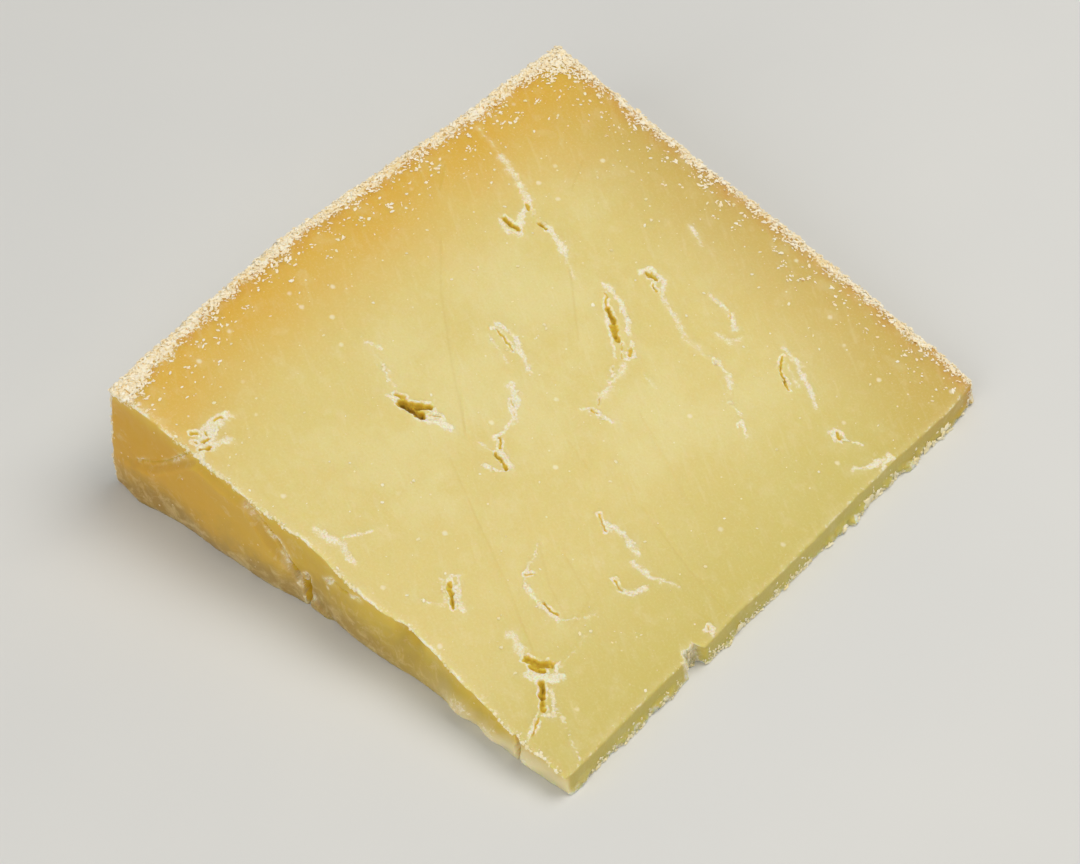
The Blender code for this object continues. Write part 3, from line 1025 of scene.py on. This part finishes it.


# %% [markdown]
# ## The snapped side
#
# The wheel was halved by snapping it, so this side is drier and rougher than the cut. It is
# gold under the edge, painted light where light comes through from above, darker tan toward
# the foot, and smeared.
# A picture of it would need painting. Instead, ranges of height and of distance from the nose
# give each tone its place, and noise bends every border.

# %% Snapped side and specks
def broken_colour(tree, where, along, up):
    """Colour of the snapped side: gold above and toward the nose, tan and smeared below."""
    to_nose = add(tree, "MapRange", (along, -50 * MM, 35 * MM), **EASED)
    colour = add(tree, "Mix", (to_nose, PASTE["side_rim"], PASTE["side_nose"]), **COLOURS)
    patches = {"Vector": where, "Scale": features(9), "Detail": 4, "Roughness": 0.6}
    patches = add(tree, "TexNoise", patches)
    swayed = add(tree, "Math", (up, add(tree, "Math", (patches, 16 * MM), **TIMES)))
    low_down = add(tree, "MapRange", (swayed, 22 * MM, 11 * MM), **EASED)
    to_tip = add(tree, "MapRange", (along, -5 * MM, 55 * MM, 0.9, 0.2), **EASED)
    low_down = add(tree, "Math", (low_down, to_tip), **TIMES)
    colour = add(tree, "Mix", (low_down, colour, PASTE["side_foot"]), **COLOURS)

    to_axis = add(tree, "Math", (AXIS_X * MM, along), operation="SUBTRACT")
    cut = add(tree, "Math", (to_axis, math.tan(CUT_ANGLE)), **TIMES)
    below_cut = add(tree, "Math", (cut, up), operation="SUBTRACT")
    swayed = add(tree, "Math", (below_cut, add(tree, "Math", (patches, 4 * MM), **TIMES)))
    lit = add(tree, "MapRange", (swayed, 2.0 * MM, 8.5 * MM, 0.8, 0.0), **EASED)
    colour = add(tree, "Mix", (lit, colour, PASTE["side_crest"]), **COLOURS)

    smears = {"Vector": where, "Scale": features(4.5), "Detail": 6, "Roughness": 0.72}
    smears = add(tree, "TexNoise", {**smears, "Distortion": 0.6})
    reach = add(tree, "Math", (smears, add(tree, "Math", (low_down, 0.10), **TIMES)))
    smeared = add(tree, "MapRange", (reach, 0.53, 0.72, 0.0, 0.56), **EASED)
    colour = add(tree, "Mix", (smeared, colour, PASTE["smear"]), **COLOURS)

    near_tip = add(tree, "MapRange", (along, 20 * MM, 54 * MM, 0.0, 0.9), **EASED)
    swayed = add(tree, "Math", (up, add(tree, "Math", (patches, 8 * MM), **TIMES)))
    at_foot = add(tree, "MapRange", (swayed, 13 * MM, 7 * MM), **EASED)
    pale = add(tree, "Math", (near_tip, at_foot), **TIMES)
    return add(tree, "Mix", (pale, colour, PASTE["pale_foot"]), **COLOURS)


def speck_share(tree, where, dried, cell, dot, seldom):
    """White specks: at most one ragged dot in each cell, and more of them in dried paste."""
    ragged = add(tree, "TexNoise", {"Vector": where, "Scale": features(0.7)})
    reach = (ragged.outputs["Color"], (0.5 * dot * MM,) * 3, where)
    bent = add(tree, "VectorMath", reach, operation="MULTIPLY_ADD")
    cells = add(tree, "TexVoronoi", {"Vector": bent, "Scale": features(cell)})
    chance = add(tree, "SeparateColor", (cells.outputs["Color"],))
    oftener = add(tree, "Math", (dried, 0.35), **TIMES)
    limit = add(tree, "Math", (seldom, oftener), operation="SUBTRACT")
    past = add(tree, "Math", (chance, limit), operation="SUBTRACT")
    chosen = add(tree, "MapRange", (past, 0.0, 0.15), **EASED)
    spot = (cells.outputs["Distance"], 0.3 * dot / cell, dot / cell, 1.0, 0.0)
    spot = add(tree, "MapRange", spot, **EASED)
    return add(tree, "Math", (spot, chosen), **TIMES)


# %% [markdown]
# ## Marks laid over the paste
#
# Whatever the paste's tone is, its marks are the same: white specks, the wire's lines drawn
# as a darker line of painted shade, chalk where it tore, and deep gold painted shade where
# light sinks into a slot. They are laid over the tone in that order, each by the share that
# is stored on the points. A lace of noise breaks up the chalk first, because a torn lip is a
# web of crumbs and not a coat of paint. The crust comes last and covers everything, and under
# it far less light enters the paste.

# %% Marks and relief
def laid_over(tree, marks, where, colour, dried):
    """The marks laid over the paste in turn: specks, wire lines of painted shade, torn chalk and
    the slots' painted shade.

    Returns the colour, and how chalky the place is."""
    for cell, dot, seldom, most in ((2.2, 0.34, 0.86, 0.75), (6.0, 0.90, 0.66, 0.60)):
        specks = speck_share(tree, where, dried, cell, dot, seldom)
        specks = add(tree, "Math", (specks, most), **TIMES)
        colour = add(tree, "Mix", (specks, colour, PASTE["speck"]), **COLOURS)
    # The wire's lines: a darker line of painted shade along each step, where its slope turns from
    # the light.
    line = add(tree, "Math", (marks["wire"], 0.16), **TIMES)
    colour = add(tree, "Mix", (line, colour, PASTE["by_flat"]), **COLOURS)

    lace = {"Vector": where, "Scale": features(1.1), "Detail": 4, "Roughness": 0.65}
    lace = add(tree, "TexNoise", {**lace, "Distortion": 0.5})
    halo = add(tree, "MapRange", (marks["chalk"], 0.02, 0.7, 0.0, 0.42), **EASED)
    colour = add(tree, "Mix", (halo, colour, PASTE["chalk"]), **COLOURS)
    laced = add(tree, "Math", (marks["chalk"], add(tree, "Math", (lace, 1.1), **TIMES)))
    chalk = add(tree, "MapRange", (laced, 0.86, 1.18), **EASED)
    # Painted highlight and shade on the chalk's grains: the grit mixes a lit and a shaded copy of
    # the chalk.
    grit = {"Vector": where, "Scale": features(0.45), "Detail": 3, "Roughness": 0.7}
    grit = add(tree, "MapRange", (add(tree, "TexNoise", grit), 0.34, 0.62), **EASED)
    torn = add(tree, "Mix", (grit, PASTE["chalk_shade"], PASTE["chalk_lit"]), **COLOURS)
    torn_share = add(tree, "Math", (chalk, 0.88), **TIMES)
    colour = add(tree, "Mix", (torn_share, colour, torn), **COLOURS)
    # Painted shade in the lace's pits: the gaps between the chalk's crumbs take the slot's deeper
    # gold.
    pits = add(tree, "MapRange", (lace, 0.42, 0.30), **EASED)
    pitted = add(tree, "Math", (marks["chalk"], pits), **TIMES)
    pitted = add(tree, "Math", (pitted, 0.35), **TIMES)
    colour = add(tree, "Mix", (pitted, colour, PASTE["slot"]), **COLOURS)

    # A slot has three tones of painted shade going down, darker with depth, and the first one
    # isn't drawn on the broken side. There the cracks and the hollow take the deeper two.
    on_cut = add(tree, "Math", (1.0, marks["broken"]), operation="SUBTRACT")
    rim = add(tree, "MapRange", (marks["cavity"], 0.05, 0.3), **EASED)
    rim = add(tree, "Math", (rim, on_cut), **TIMES)
    floor = add(tree, "MapRange", (marks["cavity"], 0.25, 0.6), **EASED)
    deep = add(tree, "MapRange", (marks["cavity"], 0.75, 1.0), **EASED)
    for share, tone in ((rim, "slot"), (floor, "slot_floor_shade"), (deep, "slot_deep_shade")):
        colour = add(tree, "Mix", (share, colour, PASTE[tone]), **COLOURS)
    return colour, chalk


def skin_relief(tree, where, rough):
    """The finest relief: grain a tenth high and slow dents, with far more grain where torn."""
    fine = {"Vector": where, "Scale": features(0.5), "Detail": 3, "Roughness": 0.65}
    fine = add(tree, "TexNoise", fine)
    dents = add(tree, "TexNoise", {"Vector": where, "Scale": features(3.5), "Detail": 3})
    fine_height = add(tree, "Math", (fine, 0.10), **TIMES)
    dent_height = add(tree, "Math", (dents, 0.35), **TIMES)
    height = add(tree, "Math", (fine_height, dent_height))
    torn_height = add(tree, "Math", (add(tree, "Math", (fine, rough), **TIMES), 1.4), **TIMES)
    height = add(tree, "Math", (height, torn_height))
    return add(tree, "Bump", {"Height": height, "Strength": 0.5, "Distance": 0.35 * MM})


# %% Paste material
def matured_cheddar():
    """The material of the whole skin: waxy, faintly translucent paste under powdery bloom."""
    material, tree, where = start_material("matured_cheddar")
    marks = {name: add(tree, "Attribute", attribute_name=name).outputs["Fac"] for name in MARKS}
    colour, along, up, dried = paste_colour(tree, marks, where)
    on_side = add(tree, "Math", (marks["broken"], 0.9), **TIMES)
    side = broken_colour(tree, where, along, up)
    colour = add(tree, "Mix", (on_side, colour, side), **COLOURS)
    colour, chalk = laid_over(tree, marks, where, colour, dried)

    powder = {"Vector": where, "Scale": features(0.9), "Detail": 4, "Roughness": 0.7}
    powder = add(tree, "TexNoise", powder)
    patch = {"Vector": where, "Scale": features(6.0), "Detail": 3, "Roughness": 0.6}
    patch = add(tree, "TexNoise", patch)
    shade = add(tree, "MapRange", (add(tree, "Math", (powder, patch)), 0.82, 1.12), **EASED)
    bloom = add(tree, "Mix", (shade, PASTE["bloom_shade"], PASTE["bloom"]), **COLOURS)
    crust = add(tree, "Math", (marks["crust"], add(tree, "Math", (powder, 2.6), **TIMES)))
    crust = add(tree, "MapRange", (crust, 1.72, 2.10), **EASED)
    rough = add(tree, "Math", (marks["chalk"], chalk), operation="MAXIMUM")
    rough = add(tree, "Math", (rough, crust), operation="MAXIMUM")
    inputs = {
        "Base Color": add(tree, "Mix", (crust, colour, bloom), **COLOURS),
        "Roughness": add(tree, "MapRange", (rough, 0.0, 1.0, 0.42, 0.85), **EASED),
        "IOR": 1.46,
        "Subsurface Weight": add(tree, "MapRange", (crust, 0.0, 1.0, 0.7, 0.12), **EASED),
        "Subsurface Radius": (1.0, 0.62, 0.24),
        "Subsurface Scale": 3.0 * MM,
        "Normal": skin_relief(tree, where, rough),
    }
    add(tree, "OutputMaterial", {"Surface": add(tree, "BsdfPrincipled", inputs)})
    return material


cheese.data.materials.append(matured_cheddar())
print("the paste's material has", len(cheese.active_material.node_tree.nodes), "nodes")
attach(cheese, "root")
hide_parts("cheese_wedge")

# %% [markdown]
# ## Small things that cling
#
# The bloom on a clothbound rind is dry mould and lint that stands up in short white flakes,
# like shredded coconut. Torn paste leaves crumbs, and matured paste grows white crystals.
# All three are thousands of small solids, so each starts from the same twelve corners and
# twenty faces, with its corners pulled in or out by chance. That is enough for something a
# millimetre long. Each kind is joined into one mesh.

# %% Scattering small solids
ABOVE_BOARD = 0.02


def small_solid():
    """The corners and faces of a ball of twenty triangles."""
    mesh = bpy.data.meshes.new("small_solid")
    ball = bmesh.new()
    bmesh.ops.create_icosphere(ball, subdivisions=1, radius=1.0)
    ball.to_mesh(mesh)
    ball.free()
    corner_list = np.array([vertex.co for vertex in mesh.vertices])
    face_list = np.array([tuple(face.vertices) for face in mesh.polygons])
    bpy.data.meshes.remove(mesh)
    return corner_list, face_list


SOLID_CORNERS, SOLID_FACES = small_solid()


def turned_frames(normals, alongs, rng, swing, lean):
    """Length, width and height directions of each small solid: the direction along the
    surface swings about the normal, and then leans up or down out of the surface."""
    normals = normals / np.linalg.norm(normals, axis=1)[:, None]
    alongs = alongs - normals * np.sum(alongs * normals, axis=1)[:, None]
    alongs = alongs / np.linalg.norm(alongs, axis=1)[:, None]
    sides = np.cross(normals, alongs)
    turn = rng.uniform(-swing, swing, len(normals))[:, None]
    alongs = alongs * np.cos(turn) + sides * np.sin(turn)
    tip = rng.uniform(-lean, lean, len(normals))[:, None]
    lengths = alongs * np.cos(tip) + normals * np.sin(tip)
    heights = normals * np.cos(tip) - alongs * np.sin(tip)
    return np.stack([lengths, np.cross(heights, lengths), heights], axis=1)


def scatter(name, centres, frames, sizes, rng, jag):
    """Many small solids as one mesh: the ball's corners, jagged by chance, stretched to each
    size, turned by each frame and moved to each centre."""
    count, corner_count = len(centres), len(SOLID_CORNERS)
    shape = SOLID_CORNERS * (1 + jag * rng.uniform(-1, 1, (count, corner_count, 1)))
    shape = shape * sizes[:, None, :] / 2
    points = centres[:, None, :] + np.einsum("nci,nij->ncj", shape, frames)
    points = points.reshape(-1, 3)
    points[:, 2] = np.maximum(points[:, 2], ABOVE_BOARD)
    faces = SOLID_FACES[None] + np.arange(count)[:, None, None] * corner_count
    obj = mesh_from_faces(name, points, faces.ravel(), np.full(count * len(SOLID_FACES), 3))
    obj.data.shade_flat()
    paint(obj, "tint", np.repeat(rng.uniform(0, 1, count), corner_count))
    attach(obj, "root")
    print(name, count, "solids,", count * len(SOLID_FACES), "triangles")
    return obj


# %% Bloom on the rind
# Flakes thrown per square millimetre by the edges of the cut and on the rind's own faces,
# how far in from the edge they are thrown, and how wide the dense band is.
BLOOM_PER_MM2 = 4.3
FACE_PER_MM2 = 0.50
SPARSE_REACH = 17.0
DENSE_WIDTH = 5.4
CORNER_WIDTH = 13
ROUND_HEIGHT = 33.0
FLAT_HEIGHT = 20.0
BLOOM_SEED = 5


def bloom_places(rng):
    """Block places for the bloom: dense along both rind edges of the upper cut, thinning to
    single flakes inside it, and spread over the two rind faces and round the far edges."""
    span_x, span_y = HIGH[0] - LOW[0], HIGH[1] - LOW[1]
    places = []
    for along_round, span, weight in ((True, span_y, 1.0), (False, span_x, 0.94)):
        count = int(span * SPARSE_REACH * BLOOM_PER_MM2)
        inward = rng.uniform(0, SPARSE_REACH, count)
        along = rng.uniform(0, 1, count)
        ragged = 2.8 * noise(in_plan(along * span, inward), 6.0, 139, layers=3, gain=0.65)
        near_start = bell(along * span, CORNER_WIDTH)
        if along_round:
            corner = 3.8 * near_start + 5.4 * bell((along - 1) * span, CORNER_WIDTH)
        else:
            corner = 5.8 * near_start - 0.6 * smooth((along - 0.8) / 0.2)
        dense = smooth((DENSE_WIDTH * weight + ragged + corner - inward) / DENSE_WIDTH)
        single = 0.03 * smooth((SPARSE_REACH - inward) / 9) + 0.12 * bell(inward, 8)
        clumps = noise(in_plan(along * span, inward, 40.0), 1.9, 157, layers=2)
        single = single * 3.4 * smooth(clumps * 2.2 - 0.1)
        kept = rng.uniform(0, 1, count) < dense + single
        deep, run = inward[kept], along[kept]
        if along_round:
            places.append(np.stack([deep / span_x, run, np.ones(len(run))], axis=1))
        else:
            places.append(np.stack([run, 1 - deep / span_y, np.ones(len(run))], axis=1))
    for along_round, area in ((True, span_y * ROUND_HEIGHT), (False, span_x * FLAT_HEIGHT)):
        count = int(area * FACE_PER_MM2)
        run, up = rng.uniform(0, 1, (2, count))
        if not along_round:
            run = 1 - np.sqrt(run)
        fixed = np.zeros(count) if along_round else np.ones(count)
        order = (fixed, run, up) if along_round else (run, fixed, up)
        places.append(np.stack(order, axis=1))
    return np.concatenate(places)


def loose_solids(name, palest, warmest, roughness, ior):
    """The material of small loose solids: matt, each one tinted between two colours."""
    material, tree, _ = start_material(name)
    tint = add(tree, "Attribute", attribute_name="tint").outputs["Fac"]
    colour = add(tree, "Mix", (tint, linear(palest), linear(warmest)), **COLOURS)
    inputs = {"Base Color": colour, "Roughness": roughness, "IOR": ior}
    add(tree, "OutputMaterial", {"Surface": add(tree, "BsdfPrincipled", inputs)})
    return material


def powdery_bloom():
    """Dry mould and lint: almost white, and fully matt because its fibres face every way."""
    return loose_solids("powdery_bloom", "#FFFBEA", "#FBE8BC", 0.9, 1.4)


def make_bloom():
    """The flakes of bloom: short rods that lie roughly along the edges, flatter further in.

    Real mould threads are far too thin to show, so each flake stands for a tuft of them."""
    rng = np.random.default_rng(BLOOM_SEED)
    places = bloom_places(rng)
    centres, out, gaps, _ = cheese_surface(*places.T)
    by_round = gaps[:, 0] < gaps[:, 3]
    alongs = np.where(by_round[:, None], [[0, 1, 0]], [[1, 0, 0]]).astype(float)
    frames = turned_frames(out, alongs, rng, math.radians(60), math.radians(24))
    count = len(centres)
    further_in = smooth(np.minimum(gaps[:, 0], gaps[:, 3]) / 6)
    size = 0.45 + 0.85 * rng.uniform(0, 1, count) ** 1.6
    lengths = size * rng.uniform(0.7, 1.35, count)
    widths = size * rng.uniform(0.35, 0.75, count)
    heights = size * rng.uniform(0.30, 0.50, count) * between(1.0, 0.6, further_in)
    sizes = np.stack([lengths, widths, heights], axis=1)
    lift = rng.uniform(0.02, 0.30, count) * between(1.0, 0.2, further_in)
    centres = centres + frames[:, 2] * lift[:, None]
    bloom = scatter("rind_bloom", centres, frames, sizes, rng, jag=0.38)
    bloom.data.materials.append(powdery_bloom())


make_bloom()

# %% [markdown]
# ## Crumbs and crystals
#
# Crumbs sit where the paste tore: on the lips of slots, along seams, on the broken edge and
# under the nose. To find such places, points are thrown round every path and only those stay
# that land on chalky ground outside the slots.

# %% Crumbs along the tears
# Shortest and longest length in mm, and how many are thrown along each edge.
CRUMB_SIZES = (0.30, 1.15)
CHIP_SIZES = (1.1, 3.0)
BREAK_CRUMBS = 640
FOOT_CRUMBS = 1500
BITE_CRUMBS = 60
FOOT_CHIPS = 44
OTHER_CHIPS = 22


def tear_places(rng):
    """Plan positions beside slots and scars that are chalky and not down in a slot."""
    thrown = []
    for path, half_width, _ in SLOTS + SCARS:
        for start, end in zip(path[:-1], path[1:]):
            run = np.subtract(end, start)
            length = np.hypot(*run)
            count = int(2 + 4 * length)
            way = rng.uniform(-0.1, 1.1, count)[:, None]
            off = rng.normal(0, half_width + 0.45, count)[:, None]
            across = np.array([-run[1], run[0]]) / length
            thrown.append(np.array(start) + way * run + off * across)
    spots = np.concatenate(thrown)
    depth, chalk, _ = upper_marks(*spots.T)
    kept = (depth < 0.12) & (chalk * rng.uniform(0.3, 1.0, len(spots)) > 0.38)
    return spots[kept]


def block_places(spots):
    """Block places on the upper cut for plan positions, found by measuring and correcting."""
    u = (spots[:, 0] - LOW[0]) / (HIGH[0] - LOW[0])
    v = (spots[:, 1] - LOW[1]) / (HIGH[1] - LOW[1])
    w = np.ones(len(spots))
    for _ in range(4):
        points, _, _ = place(u, v, w)
        u = np.clip(u + (spots[:, 0] - points[:, 0]) / (HIGH[0] - LOW[0]), 0, 1)
        v = np.clip(v + (spots[:, 1] - points[:, 1]) / (HIGH[1] - LOW[1]), 0, 1)
    return np.stack([u, v, w], axis=1)


def edge_places(rng):
    """Block places along the broken edge, the nose's foot and the bite, in ragged patches.

    Half of those by the broken edge are on the cut, and half are on the broken side."""
    places = []
    run = rng.uniform(0, 1, BREAK_CRUMBS)
    patch = noise(in_plan(run * LENGTH, run * 0), 8.0, 149, layers=3, gain=0.6)
    run = run[patch > 0.05]
    upper = rng.uniform(0, 1, len(run)) < 0.5
    inward = rng.exponential(0.35, len(run))
    v = np.where(upper, inward / 150, 0.0)
    w = np.where(upper, 1.0, 1 - inward / 20)
    places.append(np.stack([run, v, w], axis=1))
    run = rng.uniform(0, 1, FOOT_CRUMBS)
    patch = noise(in_plan(run * BREADTH, run * 0), 10.0, 151, layers=3, gain=0.6)
    run = run[patch > -0.10]
    up = rng.exponential(0.13, len(run)) % 0.7
    places.append(np.stack([np.ones(len(run)), run, up], axis=1))
    run = (rng.normal(BITE_Y, 1.8, BITE_CRUMBS) - LOW[1]) / (HIGH[1] - LOW[1])
    up = rng.uniform(0, 1, BITE_CRUMBS)
    places.append(np.stack([np.ones(BITE_CRUMBS), run, up], axis=1))
    return np.concatenate(places)


def torn_paste():
    """Crumbs of torn paste: pale, because their rough skin scatters the light."""
    return loose_solids("torn_paste", "#FCF6DC", "#F2E4AC", 0.7, 1.46)


def lay_solids(name, places, rng, smallest, largest, flatness):
    """Small solids on the skin at block places, sized between two lengths, lying any way."""
    centres, out, _, _ = cheese_surface(*places.T)
    alongs = np.where(np.abs(out[:, :1]) > 0.6, [[0, 1, 0]], [[1, 0, 0]]).astype(float)
    frames = turned_frames(out, alongs, rng, math.pi, math.radians(20))
    count = len(centres)
    size = between(smallest, largest, rng.uniform(0, 1, count) ** 2)
    shape = np.stack([np.ones(count), rng.uniform(0.5, 0.9, count), rng.uniform(*flatness, count)])
    centres = centres + out * (rng.uniform(-0.06, 0.08, count) * size)[:, None]
    return scatter(name, centres, frames, size[:, None] * shape.T, rng, jag=0.30)


def make_crumbs():
    """The crumbs of the tears and edges, and the larger chips under the nose, as two pieces."""
    rng = np.random.default_rng(8)
    places = np.concatenate([block_places(tear_places(rng)), edge_places(rng)])
    crumbs = lay_solids("torn_crumbs", places, rng, *CRUMB_SIZES, flatness=(0.28, 0.50))
    gathered = rng.normal(0.78, 0.09, FOOT_CHIPS)
    along = np.concatenate([gathered, rng.uniform(0.05, 0.95, OTHER_CHIPS)])
    up = rng.exponential(0.12, len(along)) % 0.5
    places = np.stack([np.ones(len(along)), np.clip(along, 0.02, 0.98), up], axis=1)
    chips = lay_solids("nose_chips", places, rng, *CHIP_SIZES, flatness=(0.26, 0.46))
    for piece in (crumbs, chips):
        piece.data.materials.append(torn_paste())


make_crumbs()

# %% White crystals
CRYSTALS_THROWN = 1700


def crystal_places(rng):
    """Block places on the upper cut, more of them toward the two rinds."""
    u, v, chance = rng.uniform(0.01, 0.99, (3, CRYSTALS_THROWN))
    from_round, from_flat = u * LENGTH, (1 - v) * BREADTH
    share = 0.15 + 0.75 * np.exp(-from_round / 16) + 0.55 * np.exp(-from_flat / 12)
    kept = chance < share
    return np.stack([u[kept], v[kept], np.ones(kept.sum())], axis=1)


def make_crystals():
    """Amino-acid crystals and flakes of bloom carried onto the cut by the wire."""
    rng = np.random.default_rng(13)
    places = crystal_places(rng)
    crystals = lay_solids("white_crystals", places, rng, *CRUMB_SIZES, flatness=(0.26, 0.44))
    crystals.data.materials.append(torn_paste())


make_crystals()

# %% [markdown]
# ## Board, light and camera
#
# The piece lies on a plain pale surface. One large soft light stands behind and to the right,
# so that the upper cut is bright and the broken side falls into a warm shade, and a weak fill
# comes from the front. The camera is a long lens looking down at the corner between the
# broken side and the nose.

# %% Board
BOARD_HALF = 1500.0


def board():
    """A plain pale surface, much larger than the piece."""
    points = np.array([(-1, -1, 0), (1, -1, 0), (1, 1, 0), (-1, 1, 0)]) * BOARD_HALF
    floor = mesh_from_faces("floor", points, np.arange(4), np.array([4]))
    material, tree, where = start_material("pale_board")
    clouds = add(tree, "TexNoise", {"Vector": where, "Scale": features(90), "Detail": 3})
    shade = add(tree, "Mix", (clouds, linear("#D9DBDB"), linear("#E1E2E0")), **COLOURS)
    shader = add(tree, "BsdfPrincipled", {"Base Color": shade, "Roughness": 0.85})
    add(tree, "OutputMaterial", {"Surface": shader})
    floor.data.materials.append(material)


board()

# %% Light
def soft_light(name, azimuth, elevation, distance, size, power, colour):
    """A square soft light that looks at the piece from a direction, given as for a camera."""
    data = bpy.data.lights.new(name, "AREA")
    data.size = size
    data.energy = power
    data.color = linear(colour)[:3]
    lamp = bpy.data.objects.new(name, data)
    bpy.context.scene.collection.objects.link(lamp)
    look_from(lamp, (0, 0, 10), azimuth, elevation, distance)


def look_from(obj, target, azimuth, elevation, distance):
    """Turns an object to look along its own -Z at a target (in mm) from a direction: azimuth
    0 looks along +Y, and 90 looks along -X."""
    turn, rise = math.radians(azimuth), math.radians(elevation)
    back = np.array(
        [
            math.sin(turn) * math.cos(rise),
            -math.cos(turn) * math.cos(rise),
            math.sin(rise),
        ]
    )
    obj.location = (np.array(target) + back * distance) * MM
    obj.rotation_euler = (math.pi / 2 - rise, 0, turn)


WARM_WHITE = "#FFF9F0"
LIGHT_DISTANCE = 1100
soft_light("key_light", 150, 66, LIGHT_DISTANCE, size=0.75, power=7.6, colour=WARM_WHITE)
soft_light("fill_light", 8, 30, LIGHT_DISTANCE, size=0.9, power=5.0, colour=WARM_WHITE)
world = bpy.data.worlds.new("soft_room")
world.use_nodes = True
background = world.node_tree.nodes["Background"]
background.inputs["Color"].default_value = linear("#F2F5F8")
background.inputs["Strength"].default_value = 0.30
bpy.context.scene.world = world
bpy.context.scene.view_settings.view_transform = "Standard"

# %% Camera
camera = bpy.data.objects.new("camera", bpy.data.cameras.new("camera"))
camera.data.lens = 105
camera.data.sensor_width = 36
bpy.context.scene.collection.objects.link(camera)
look_from(camera, (-2.42, -0.34, 0), azimuth=41.0, elevation=48.66, distance=731.2)
bpy.context.scene.camera = camera
